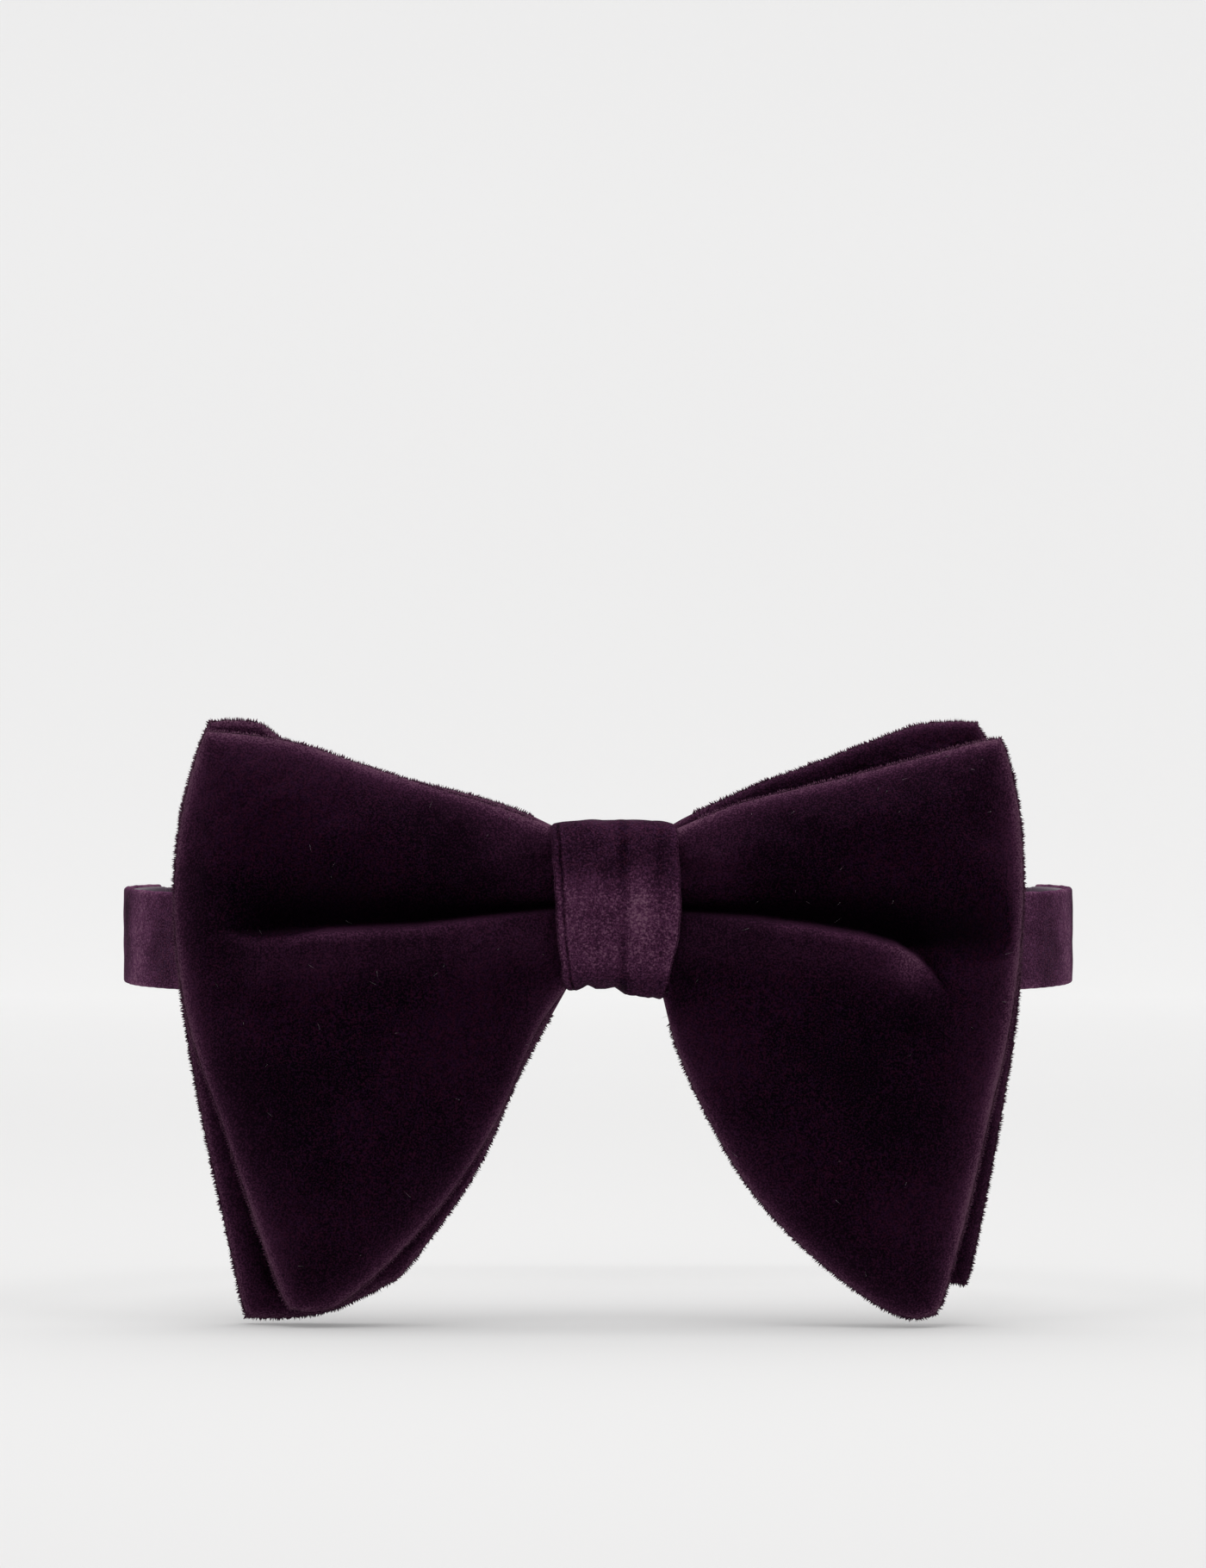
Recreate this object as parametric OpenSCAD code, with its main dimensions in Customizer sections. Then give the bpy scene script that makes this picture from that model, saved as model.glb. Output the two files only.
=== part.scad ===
// Velvet bow tie, pre-tied: a front bow and a rear bow gathered at one waist, a knot
// wrapped round them, and a neck band that fastens behind with a hook and an eye ring.
// The origin is the centre of the neck opening at half the band's height. The bow faces
// -Y and +Z is up. The clasp is drawn just unhooked.

/* [Bow] */
// Width across both wings
bow_w = 138; // [126:1:150]
// Height of the wings from the lower tips to the top corners
bow_h = 98; // [90:1:106]
// Half thickness of a front wing where it is fullest
front_fullness = 3.6; // [2.6:0.2:4]
// Half thickness of a rear wing where it is fullest
rear_fullness = 2.2; // [1.8:0.1:2.2]
// How far the sewn pleat stands forward of a front wing
pleat_depth = 3.2; // [0:0.2:5]

/* [Knot] */
// Height of the knot wrap
knot_h = 29.3; // [27:0.1:31]
// Wall of the velvet knot wrap
wrap_wall = 1; // [0.8:0.1:1]

/* [Neck band] */
// Height of the velvet neck band
band_h = 16.2; // [13:0.1:16.2]
// Half of the straight stretch of the neck loop, front and back
straight_half = 37; // [37:1:44]
// Height of the thin ribbon behind the neck
ribbon_h = 15; // [12:0.5:15]

/* [Clasp] */
// Angle that the unhooked hook stands off the ribbon
hook_rest = 12; // [10:1:20]
// Place of the adjuster slider along the back stretch
slider_x = 14; // [10:1:16]

/* [Hidden] */
$fn = 48;
velvet = "#3a2236";
velvet_deep = "#231222";
cotton = "#d8d2c8";
satin = "#4a2c44";
thread = "#2a1828";
metal = "#b9b9bc";

// Depths along Y, from the collar outwards
wrap_back_y = -40.5;
front_mid_y = -53.2;
rear_mid_y = -46.7;
wrap_front_y = -59.2;
front_waist_y = [-57.45, -49];
rear_waist_y = [-48.9, -44.2];
waist_x = [-4, 10];
waist_z = [-7, 17];
knot_top = 19.6;
knot_bottom = knot_top - knot_h;
ply_gap = 0.05;
lining_wall = 0.4;

// Cloth of the wings
panel_t = 1.2;
interlining_half = 0.3;
rim_half = 1.35;
wing_cols = 12;
wing_rows = 12;

// Each wing's edges as seen from the front: [x, z] points for a bow 138 wide and 98 high.
// top and bottom run from the knot outwards, outer runs from the lower tip upwards.
top_at = 0;
bottom_at = 1;
outer_at = 2;
front_left = [
    [[-4, 17], [-15, 21.2], [-27, 25], [-39, 29], [-50, 32.4], [-64, 34.5]],
    [[-4, -6.6], [-10.8, -17], [-17.2, -30.8], [-25.5, -42], [-35.6, -53], [-48, -61]],
    [[-48, -61], [-55, -48], [-61, -31], [-66.6, -14], [-69, 3], [-68, 19.5], [-64, 34.5]]
];
front_right = [
    [[10, 17], [21.4, 21.6], [32, 24.4], [43, 27.2], [53, 30], [65, 33]],
    [[10, -7], [14.8, -20.6], [20, -31.5], [27.5, -43], [38.5, -54], [51.5, -62]],
    [[51.5, -62], [58.6, -51], [63, -32], [67.3, -13], [69, 4], [68.4, 20], [65, 33]]
];
rear_left = [
    [[-4, 17], [-15, 21.6], [-28, 26], [-41, 30.4], [-52, 33.8], [-61.5, 36]],
    [[-4, -6.6], [-11.5, -21], [-20, -37.5], [-30.5, -51.5], [-42, -59.5], [-56.5, -61.5]],
    [[-56.5, -61.5], [-61.5, -44], [-64, -30], [-67, -13], [-68.8, 3], [-67.5, 20],
        [-61.5, 36]]
];
rear_right = [
    [[10, 17], [22, 22.8], [34, 27.8], [45, 32.6], [54, 35.2], [62.3, 35.4]],
    [[10, -7], [17, -22], [25, -34], [34.5, -44.5], [45.5, -52.5], [58.2, -56.2]],
    [[58.2, -56.2], [63.2, -44], [65.4, -30], [67.8, -15], [69, 0], [68, 18], [62.3, 35.4]]
];
drawn_w = 138;
drawn_h = 98;

// Neck loop, in plan: side_r is the radius of its two round sides, to the band's middle
side_r = 43;
band_half_t = 1;
band_in_r = side_r - band_half_t;
band_out_r = side_r + band_half_t;
velvet_ply_t = 1.15;
hinge_x = straight_half + side_r;
hinge_gap = 1.3;
ribbon_t = 0.9;
ribbon_in_r = side_r - ribbon_t / 2;
ribbon_out_r = side_r + ribbon_t / 2;
band_end_angle = 25;
stitch_r = 0.2;

// Clasp: wire radii, bar places and the cloth loops that hold them
bar_r = 0.7;
loop_in_r = 0.8;
loop_out_r = loop_in_r + ribbon_t;
bar_y = ribbon_in_r - loop_in_r;
eye_x = -28.5;
eye_len = 6;
eye_half_h = 8.9;
hook_x = -8;
hook_half_h = 9.3;
hook_arm_in = 7.9;
hook_t = 1.2;
hook_frame_len = 6;
tongue_len = 16.5;
tongue_half_h = 4.2;
tongue_y = [0.95, 1.95];
lip_t = 1;
slider_bar_r = 0.6;
slider_loop_in_r = 0.7;
return_y = [bar_y - loop_out_r, bar_y - loop_in_r];
slider_bar_y = return_y[0] - slider_loop_in_r;
slider_len = 9;
slider_half_h = 9.3;
slider_rail = 1;
slider_top_y = ribbon_out_r + 1.15;

// Point of a smooth curve that passes through every point of a list, at t from 0 to 1
function ghost(p, i) =
    i < 0 ? 2 * p[0] - p[1]
    : i > len(p) - 1 ? 2 * p[len(p) - 1] - p[len(p) - 2]
    : p[i];
function through(a, b, c, d, f) =
    0.5 * (2 * b + (c - a) * f + (2 * a - 5 * b + 4 * c - d) * f * f
        + (3 * b - a - 3 * c + d) * f * f * f);
function on_curve(p, t) =
    let (s = t * (len(p) - 1), i = min(floor(s), len(p) - 2))
    through(ghost(p, i - 1), p[i], p[i + 1], ghost(p, i + 2), s - i);

// Point of a wing as seen from the front: its four edges blended across the surface,
// u from the knot outwards and v from the lower edge upwards
function wing_xz(w, u, v) =
    let (
        b = on_curve(w[bottom_at], u), t = on_curve(w[top_at], u),
        r = on_curve(w[outer_at], v),
        l0 = w[bottom_at][0], l1 = w[top_at][0],
        r0 = w[outer_at][0], r1 = w[outer_at][len(w[outer_at]) - 1],
        l = l0 + (l1 - l0) * v,
        p = (1 - v) * b + v * t + (1 - u) * l + u * r
            - (1 - u) * ((1 - v) * l0 + v * l1) - u * ((1 - v) * r0 + v * r1)
    )
    [p[0] * bow_w / drawn_w, p[1] * bow_h / drawn_h];

// Half thickness of a wing: full at the knot and the middle, thin along the three free edges
function wing_half(full, u, v) =
    rim_half + (full - rim_half) * sqrt(max(0, 4 * v * (1 - v))) * sqrt(max(0, 1 - u ^ 4));

// How far the pleat stands forward: a soft ridge that leaves the knot and fades outwards
function pleat(u, z) =
    pleat_depth * exp(-((z - 5 + 4 * u) / 4) ^ 2) * sin(180 * min(1, u * 1.2));

// A closed sheet over the wing between two depths, which are given for each u and v as
// side * half thickness + shift; margin draws it in from the free edges
module wing_layer(w, mid, full, near, far, margin, fold) {
    cols = wing_cols;
    rows = wing_rows;
    us = [for (i = [0:cols]) (1 - margin) * i / cols];
    vs = [for (j = [0:rows]) margin + (1 - 2 * margin) * j / rows];
    function corner(i, j, side) =
        let (
            q = wing_xz(w, us[i], vs[j]),
            h = wing_half(full, us[i], vs[j]),
            f = fold ? pleat(us[i], q[1]) : 0
        )
        [q[0], mid - f + side[0] * h + side[1], q[1]];
    pts = [for (s = [near, far]) for (i = [0:cols]) for (j = [0:rows]) corner(i, j, s)];
    per_side = (cols + 1) * (rows + 1);
    function at(s, i, j) = s * per_side + i * (rows + 1) + j;
    near_faces = [for (i = [0:cols - 1]) for (j = [0:rows - 1]) each
        [[at(0, i, j), at(0, i, j + 1), at(0, i + 1, j + 1)],
            [at(0, i, j), at(0, i + 1, j + 1), at(0, i + 1, j)]]];
    far_faces = [for (i = [0:cols - 1]) for (j = [0:rows - 1]) each
        [[at(1, i, j), at(1, i + 1, j + 1), at(1, i, j + 1)],
            [at(1, i, j), at(1, i + 1, j), at(1, i + 1, j + 1)]]];
    end_faces = [for (j = [0:rows - 1]) each
        [[at(0, 0, j), at(1, 0, j), at(1, 0, j + 1)],
            [at(0, 0, j), at(1, 0, j + 1), at(0, 0, j + 1)],
            [at(0, cols, j), at(1, cols, j + 1), at(1, cols, j)],
            [at(0, cols, j), at(0, cols, j + 1), at(1, cols, j + 1)]]];
    edge_faces = [for (i = [0:cols - 1]) each
        [[at(0, i, 0), at(1, i + 1, 0), at(1, i, 0)],
            [at(0, i, 0), at(0, i + 1, 0), at(1, i + 1, 0)],
            [at(0, i, rows), at(1, i, rows), at(1, i + 1, rows)],
            [at(0, i, rows), at(1, i + 1, rows), at(0, i + 1, rows)]]];
    faces = concat(near_faces, far_faces, end_faces, edge_faces);
    turned = [for (f = faces) [f[2], f[1], f[0]]];
    polyhedron(pts, w[top_at][1][0] < 0 ? turned : faces, convexity = 6);
}
// The front panel, the stiffening between the panels, and the back panel of a wing
module face_panel(w, mid, full, fold = false) {
    color(velvet) wing_layer(w, mid, full, [-1, 0], [-1, panel_t], 0, fold);
}
module interlining(w, mid, full) {
    color(cotton)
        wing_layer(w, mid, full, [0, -interlining_half], [0, interlining_half], 0.14, false);
}
module back_panel(w, mid, full) {
    color(velvet_deep) wing_layer(w, mid, full, [1, -panel_t], [1, 0], 0, false);
}

module rear_left_face() { face_panel(rear_left, rear_mid_y, rear_fullness); }
module rear_left_interlining() { interlining(rear_left, rear_mid_y, rear_fullness); }
module rear_left_back() { back_panel(rear_left, rear_mid_y, rear_fullness); }
module rear_right_face() { face_panel(rear_right, rear_mid_y, rear_fullness); }
module rear_right_interlining() { interlining(rear_right, rear_mid_y, rear_fullness); }
module rear_right_back() { back_panel(rear_right, rear_mid_y, rear_fullness); }
module front_left_face() { face_panel(front_left, front_mid_y, front_fullness, true); }
module front_left_interlining() { interlining(front_left, front_mid_y, front_fullness); }
module front_left_back() { back_panel(front_left, front_mid_y, front_fullness); }
module front_right_face() { face_panel(front_right, front_mid_y, front_fullness, true); }
module front_right_interlining() { interlining(front_right, front_mid_y, front_fullness); }
module front_right_back() { back_panel(front_right, front_mid_y, front_fullness); }

// A rectangle with round corners between two [x, y] corners
module round_rect(low, high, r) {
    size = high - low;
    translate(low + [r, 0]) square([size[0] - 2 * r, size[1]]);
    translate(low + [0, r]) square([size[0], size[1] - 2 * r]);
    for (x = [low[0] + r, high[0] - r]) for (y = [low[1] + r, high[1] - r])
        translate([x, y]) circle(r);
}
// Extrudes an outline drawn in [y, z] along X
module along_x(from, to) {
    translate([from, 0, 0]) rotate([90, 0, 90]) linear_extrude(to - from) children();
}
// The knot as seen from the front: wider at the top, drawn in at the bottom
module knot_front(inset) {
    rotate([90, 0, 0]) linear_extrude(80) polygon([
        [-5.2 + inset, knot_bottom - 1], [10.4 - inset, knot_bottom - 1],
        [13.3 - inset, 1], [13.5 - inset, 7], [12.8 - inset, knot_top + 1],
        [-7.7 + inset, knot_top + 1], [-7 + inset, 3]
    ]);
}
// A closed band of cloth round the waist, depth in from the knot's outer surface
module knot_ring(depth, wall, inset) {
    low = [wrap_front_y + depth, knot_bottom + depth];
    high = [wrap_back_y - depth, knot_top - depth];
    corner = 2.6 - depth;
    intersection() {
        along_x(-9, 15) difference() {
            round_rect(low, high, corner);
            round_rect(low + [wall, wall], high - [wall, wall], corner - wall);
        }
        knot_front(inset);
    }
}
seam_x = 3;
seam_w = 2;
seam_depth = 0.45;
seam_z = [-5, 15];
seam_stitches = 8;

module knot_wrap() {
    color(velvet) difference() {
        knot_ring(0, wrap_wall, 0);
        translate([seam_x - seam_w / 2, wrap_back_y - seam_depth, seam_z[0]])
            cube([seam_w, 1, seam_z[1] - seam_z[0]]);
    }
}
module knot_lining() {
    color(satin) knot_ring(wrap_wall + ply_gap, lining_wall, 0.6);
}
// Hand stitches that close the wrap, slanting across the groove of its seam
module knot_stitches() {
    step = (seam_z[1] - seam_z[0]) / seam_stitches;
    color(thread) for (i = [0:seam_stitches - 1])
        translate([seam_x, wrap_back_y - seam_depth + stitch_r, seam_z[0] + (i + 0.5) * step])
            rotate([0, 60, 0]) cylinder(h = seam_w * 0.9, r = stitch_r, center = true);
}
module waist(depths) {
    color(velvet_deep) along_x(waist_x[0], waist_x[1])
        round_rect([depths[0], waist_z[0]], [depths[1], waist_z[1]], 1.5);
}
module front_waist() { waist(front_waist_y); }
module rear_waist() { waist(rear_waist_y); }

// Part of a flat ring between two radii and two angles up to 170 degrees apart
module ring_part(inner, outer, from, to) {
    reach = 3 * outer;
    intersection() {
        difference() {
            circle(outer, $fn = 160);
            circle(inner, $fn = 160);
        }
        polygon([[0, 0], reach * [cos(from), sin(from)],
            reach * [cos((from + to) / 2), sin((from + to) / 2)],
            reach * [cos(to), sin(to)]]);
    }
}
// One ply of the band: the straight front and the two round sides as far as the hinges
module band_ply(inner, outer, height) {
    translate([0, 0, -height / 2]) linear_extrude(height) difference() {
        union() {
            translate([-straight_half, -outer])
                square([2 * straight_half, outer - inner]);
            translate([-straight_half, 0]) ring_part(inner, outer, 180, 270);
            translate([straight_half, 0]) ring_part(inner, outer, 270, 360);
        }
        translate([-2 * hinge_x, -hinge_gap]) square([4 * hinge_x, 10]);
    }
}
module neck_band() {
    color(velvet) band_ply(band_out_r - velvet_ply_t, band_out_r, band_h);
}
module neck_band_lining() {
    color(satin) band_ply(band_in_r, band_out_r - velvet_ply_t - ply_gap, band_h - 0.8);
}
// The velvet end behind each side hinge, drawn for the right and mirrored for the left.
// It starts with a round edge about the hinge line, so that it turns without rubbing.
module band_end_shape() {
    translate([0, 0, -band_h / 2]) linear_extrude(band_h) {
        translate([hinge_x, 0]) circle(band_half_t);
        translate([straight_half, 0]) ring_part(band_in_r, band_out_r, 0, band_end_angle);
    }
}
module right_band_end() { color(velvet) band_end_shape(); }
module left_band_end() { color(velvet) mirror([1, 0, 0]) band_end_shape(); }

// The ribbon's round stretch from the velvet end to the straight back
module ribbon_side() {
    translate([0, 0, -ribbon_h / 2]) linear_extrude(ribbon_h)
        translate([straight_half, 0])
            ring_part(ribbon_in_r, ribbon_out_r, band_end_angle, 90);
}
module right_ribbon() { color(satin) ribbon_side(); }
// A run of stitches on the velvet end, where the ribbon is sewn into it
module join_stitches_shape() {
    count = 5;
    pitch = 2.6;
    angle = band_end_angle - 3;
    for (k = [0:count - 1])
        translate([straight_half, 0, (k - (count - 1) / 2) * pitch])
            rotate([0, 0, angle]) translate([band_out_r + stitch_r, 0, 0])
                cylinder(h = pitch * 0.7, r = stitch_r, center = true);
}
module right_join_stitches() { color(thread) join_stitches_shape(); }
module left_join_stitches() { color(thread) mirror([1, 0, 0]) join_stitches_shape(); }

// A straight strip of ribbon in plan from a to b
module strip(a, b, thick) {
    along = b - a;
    n = [-along[1], along[0]] / norm(along) * thick / 2;
    polygon([a - n, b - n, b + n, a + n]);
}
tail_len = [4.5, 4];
tail_y = ribbon_in_r - ply_gap - ribbon_t / 2;
// The left ribbon ends in a loop round the eye ring, turned back and sewn to itself
module left_ribbon() {
    turned = bar_y - (loop_in_r + loop_out_r) / 2;
    color(satin) {
        mirror([1, 0, 0]) ribbon_side();
        translate([0, 0, -ribbon_h / 2]) linear_extrude(ribbon_h) {
            translate([-straight_half, ribbon_in_r])
                square([straight_half + eye_x, ribbon_t]);
            translate([eye_x, bar_y]) {
                ring_part(loop_in_r, loop_out_r, -90, 0);
                ring_part(loop_in_r, loop_out_r, 0, 90);
            }
            strip([eye_x, turned], [eye_x - tail_len[0], tail_y], ribbon_t);
            strip([eye_x - tail_len[0], tail_y],
                [eye_x - tail_len[0] - tail_len[1], tail_y], ribbon_t);
        }
    }
}
// Rows of stitches standing on the face of a ply at [x, y]
module stitch_row(at, count, pitch) {
    for (k = [0:count - 1])
        translate([at[0], at[1], (k - (count - 1) / 2) * pitch])
            cylinder(h = pitch * 0.7, r = stitch_r, center = true);
}
module left_loop_stitches() {
    x = eye_x - tail_len[0] - tail_len[1] / 2;
    color(thread) {
        stitch_row([x, tail_y - ribbon_t / 2 - stitch_r], 6, 2.2);
        stitch_row([x, ribbon_out_r + stitch_r], 6, 2.2);
    }
}
// A wire ring: one bar turns in the ribbon's loop and the hook catches the other
module eye_ring() {
    color(metal) for (end = [0, eye_len]) {
        translate([eye_x + end, bar_y, 0])
            cylinder(h = 2 * eye_half_h, r = bar_r, center = true);
        for (z = [-eye_half_h, eye_half_h]) {
            translate([eye_x + end, bar_y, z]) sphere(bar_r);
            translate([eye_x, bar_y, z]) rotate([0, 90, 0]) cylinder(h = eye_len, r = bar_r);
        }
    }
}
// The ribbon's outer ply along the back, which shortens as the slider is drawn along
module ribbon_run() {
    color(satin) translate([hook_x, ribbon_in_r, -ribbon_h / 2])
        cube([straight_half - hook_x, ribbon_t, ribbon_h]);
}
// The ribbon's loop round the hook's bar
module hook_loop() {
    color(satin) translate([hook_x, bar_y, -ribbon_h / 2]) linear_extrude(ribbon_h) {
        ring_part(loop_in_r, loop_out_r, 90, 180);
        ring_part(loop_in_r, loop_out_r, 180, 270);
    }
}
// The inner ply, from the hook back to the slider
module ribbon_return() {
    color(satin) translate([hook_x, return_y[0], -ribbon_h / 2])
        cube([slider_x - hook_x, ribbon_t, ribbon_h]);
}
// A flat hook: a bar in the ribbon's loop, a frame, and a tongue with a lip at its end
module hook() {
    frame_in = hook_frame_len - 2;
    color(metal) translate([hook_x, bar_y, 0]) rotate([0, 0, -hook_rest]) {
        cylinder(h = 2 * hook_half_h, r = bar_r, center = true);
        for (side = [-1, 1])
            translate([-hook_frame_len, -hook_t / 2,
                side > 0 ? hook_arm_in : -hook_half_h])
                cube([hook_frame_len, hook_t, hook_half_h - hook_arm_in]);
        translate([-hook_frame_len, -hook_t / 2, -hook_half_h])
            cube([hook_frame_len - frame_in, hook_t, 2 * hook_half_h]);
        translate([0, 0, -tongue_half_h]) linear_extrude(2 * tongue_half_h) {
            translate([-hook_frame_len - 1, -hook_t / 2])
                square([1, hook_t / 2 + tongue_y[1]]);
            translate([-tongue_len, tongue_y[0]])
                square([tongue_len - hook_frame_len, tongue_y[1] - tongue_y[0]]);
            translate([-tongue_len, -hook_t / 2 + 0.05])
                square([lip_t, hook_t / 2 + tongue_y[1] - 0.05]);
        }
    }
}
// The adjuster: two side rails, a bar that holds the ribbon's end, and two end bars
module slider() {
    x0 = slider_x - slider_len / 2;
    low_y = slider_bar_y - slider_bar_r;
    color(metal) {
        translate([slider_x, slider_bar_y, 0])
            cylinder(h = 2 * slider_half_h - slider_rail, r = slider_bar_r, center = true);
        for (z = [-slider_half_h, slider_half_h - slider_rail])
            translate([0, 0, z]) linear_extrude(slider_rail)
                round_rect([x0, low_y], [x0 + slider_len, slider_top_y], 0.45);
        for (x = [x0, x0 + slider_len - 1])
            translate([x, slider_top_y - 1, -slider_half_h + slider_rail / 2])
                cube([1, 1, 2 * slider_half_h - slider_rail]);
    }
}
slider_tail_y = return_y[0] - ply_gap - ribbon_t / 2;
// The ribbon's end, turned round the slider's bar and sewn down
module slider_loop() {
    outer = slider_loop_in_r + ribbon_t;
    turned = slider_bar_y - (slider_loop_in_r + outer) / 2;
    color(satin) translate([0, 0, -ribbon_h / 2]) linear_extrude(ribbon_h) {
        translate([slider_x, slider_bar_y]) {
            ring_part(slider_loop_in_r, outer, -90, 0);
            ring_part(slider_loop_in_r, outer, 0, 90);
        }
        strip([slider_x, turned], [slider_x - tail_len[0], slider_tail_y], ribbon_t);
        strip([slider_x - tail_len[0], slider_tail_y],
            [slider_x - tail_len[0] - tail_len[1], slider_tail_y], ribbon_t);
    }
}
module slider_stitches() {
    color(thread) stitch_row([slider_x - tail_len[0] - tail_len[1] / 2,
        slider_tail_y - ribbon_t / 2 - stitch_r], 6, 2.2);
}

rear_left_face();
rear_left_interlining();
rear_left_back();
rear_right_face();
rear_right_interlining();
rear_right_back();
front_left_face();
front_left_interlining();
front_left_back();
front_right_face();
front_right_interlining();
front_right_back();
rear_waist();
front_waist();
knot_wrap();
knot_lining();
knot_stitches();
neck_band();
neck_band_lining();
left_band_end();
left_ribbon();
left_join_stitches();
left_loop_stitches();
eye_ring();
right_band_end();
right_ribbon();
right_join_stitches();
ribbon_run();
ribbon_return();
hook_loop();
hook();
slider();
slider_loop();
slider_stitches();
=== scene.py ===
# %% [markdown]
# # A velvet bow tie, finished around a fixed CAD frame
# The frame holds every piece at its real place and size. This script gives each cloth piece
# its real shape and every surface its finish: cotton velvet, satin lining, ribbed ribbon,
# thread and nickel. Lengths below are in millimetres, and are turned into metres when a mesh
# is made, because millimetres are what a tie maker would measure.

# %% Load the frame
import math

import bmesh
import bpy
import numpy as np
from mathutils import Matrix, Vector


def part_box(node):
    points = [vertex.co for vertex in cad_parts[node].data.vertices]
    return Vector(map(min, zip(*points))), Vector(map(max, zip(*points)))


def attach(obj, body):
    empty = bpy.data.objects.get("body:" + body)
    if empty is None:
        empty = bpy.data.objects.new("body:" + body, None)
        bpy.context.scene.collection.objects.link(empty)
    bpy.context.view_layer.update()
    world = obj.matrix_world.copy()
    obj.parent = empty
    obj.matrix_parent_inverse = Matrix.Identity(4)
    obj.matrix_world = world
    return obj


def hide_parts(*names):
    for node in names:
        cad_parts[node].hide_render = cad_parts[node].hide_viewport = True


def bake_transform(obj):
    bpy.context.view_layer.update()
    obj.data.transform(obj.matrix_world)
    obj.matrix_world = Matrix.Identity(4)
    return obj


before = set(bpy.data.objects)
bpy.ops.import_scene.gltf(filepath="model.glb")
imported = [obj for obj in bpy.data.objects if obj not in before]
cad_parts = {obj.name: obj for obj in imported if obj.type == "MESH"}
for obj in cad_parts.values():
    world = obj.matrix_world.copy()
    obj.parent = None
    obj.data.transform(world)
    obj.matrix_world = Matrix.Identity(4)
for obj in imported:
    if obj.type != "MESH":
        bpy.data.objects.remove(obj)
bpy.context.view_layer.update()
MM = 0.001


def box_mm(node):
    """Lowest and highest corner of a CAD node, in millimetres, as arrays."""
    low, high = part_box(node)
    return np.array(low) / MM, np.array(high) / MM


# %% [markdown]
# ## The camera
# The bow is seen straight from the front, by a level camera a little below its upper corners.
# A long lens from about a metre away keeps both wings the same size. Its position follows
# from the height that it should see and from the lens.

# %% Camera
SEEN_HEIGHT = 254.8
LENS = 150.0
SENSOR = 36.0
SHARP_Y = -55
LEFT_OF_KNOT = 2.1
EYE_LEVEL = 25.5
knot_low, knot_high = box_mm("knot_wrap")
camera_x = (knot_low[0] + knot_high[0]) / 2 - LEFT_OF_KNOT
distance = SEEN_HEIGHT * LENS / SENSOR
camera_data = bpy.data.cameras.new("camera")
camera_data.lens = LENS
camera_data.sensor_width = SENSOR
camera_data.clip_start = 0.01
camera_data.clip_end = 50
camera = bpy.data.objects.new("camera", camera_data)
camera.location = (camera_x * MM, (SHARP_Y - distance) * MM, EYE_LEVEL * MM)
camera.rotation_euler = (math.pi / 2, 0, 0)
bpy.context.scene.collection.objects.link(camera)
bpy.context.scene.camera = camera
print("camera stands", round(distance), "mm in front of the wings")


# %% [markdown]
# ## Wiring nodes
# The sky and every surface get their look from small graphs of nodes. These helpers make one
# node each, wire it, and hand back its output, so that a graph reads like a formula.


# %% Node helpers
def new_material(name, slot):
    """An empty node material with its Principled shader, and the record's slot it serves."""
    material = bpy.data.materials.new(name)
    material.use_nodes = True
    material["slot"] = slot
    return material, material.node_tree, material.node_tree.nodes["Principled BSDF"]


def node(tree, kind, **values):
    """A shader node of that kind, with its properties or its named inputs set."""
    made = tree.nodes.new(kind)
    for key, value in values.items():
        if hasattr(made, key):
            setattr(made, key, value)
        else:
            made.inputs[key.replace("_", " ")].default_value = value
    return made


def components(tree, which):
    """The X, Y and Z outputs of a texture coordinate."""
    split = node(tree, "ShaderNodeSeparateXYZ")
    tree.links.new(node(tree, "ShaderNodeTexCoord").outputs[which], split.inputs[0])
    return split.outputs


def noise(tree, vector, scale, detail=2.0, roughness=0.5):
    """Noise on a vector. scale is in cells per unit of that vector."""
    made = node(tree, "ShaderNodeTexNoise", Scale=scale, Detail=detail, Roughness=roughness)
    tree.links.new(vector, made.inputs["Vector"])
    return made.outputs["Fac"]


def waves(tree, vector, bands, period_mm, distortion):
    """Bands across one direction. A wave texture turns 20 times its scale in radians for
    each unit, so the scale that gives a period follows from that."""
    made = node(tree, "ShaderNodeTexWave", bands_direction=bands,
                Scale=2 * math.pi / (20 * period_mm), Distortion=distortion, Detail=2.0)
    tree.links.new(vector, made.inputs["Vector"])
    return made.outputs["Fac"]


def maths(tree, operation, a, b=0.0, clamp=False):
    """One Math node. a and b are outputs or numbers."""
    made = tree.nodes.new("ShaderNodeMath")
    made.operation = operation
    made.use_clamp = clamp
    for socket, value in zip(made.inputs, (a, b)):
        if isinstance(value, (int, float)):
            socket.default_value = value
        else:
            tree.links.new(value, socket)
    return made.outputs[0]


def stretch(tree, value, low, high, to_low=0.0, to_high=1.0):
    """Maps low..high to to_low..to_high and stops at both ends."""
    made = tree.nodes.new("ShaderNodeMapRange")
    for key, number in zip((1, 2, 3, 4), (low, high, to_low, to_high)):
        made.inputs[key].default_value = number
    tree.links.new(value, made.inputs[0])
    return made.outputs[0]


def weighted(tree, *terms, clamp=False):
    """The sum of outputs, each times its number, at the end kept in 0..1 if clamp is set."""
    parts = [value if weight == 1 else maths(tree, "MULTIPLY", value, weight)
             for value, weight in terms]
    total = parts[0]
    for index, part in enumerate(parts[1:], 2):
        total = maths(tree, "ADD", total, part, clamp=clamp and index == len(parts))
    return total


def mixed(tree, factor, a, b):
    """Colour a where factor is 0 and b where it is 1."""
    made = tree.nodes.new("ShaderNodeMix")
    made.data_type = "RGBA"
    tree.links.new(factor, made.inputs[0])
    for socket, value in zip((made.inputs[6], made.inputs[7]), (a, b)):
        if isinstance(value, tuple):
            socket.default_value = value
        else:
            tree.links.new(value, socket)
    return made.outputs[2]


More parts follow.
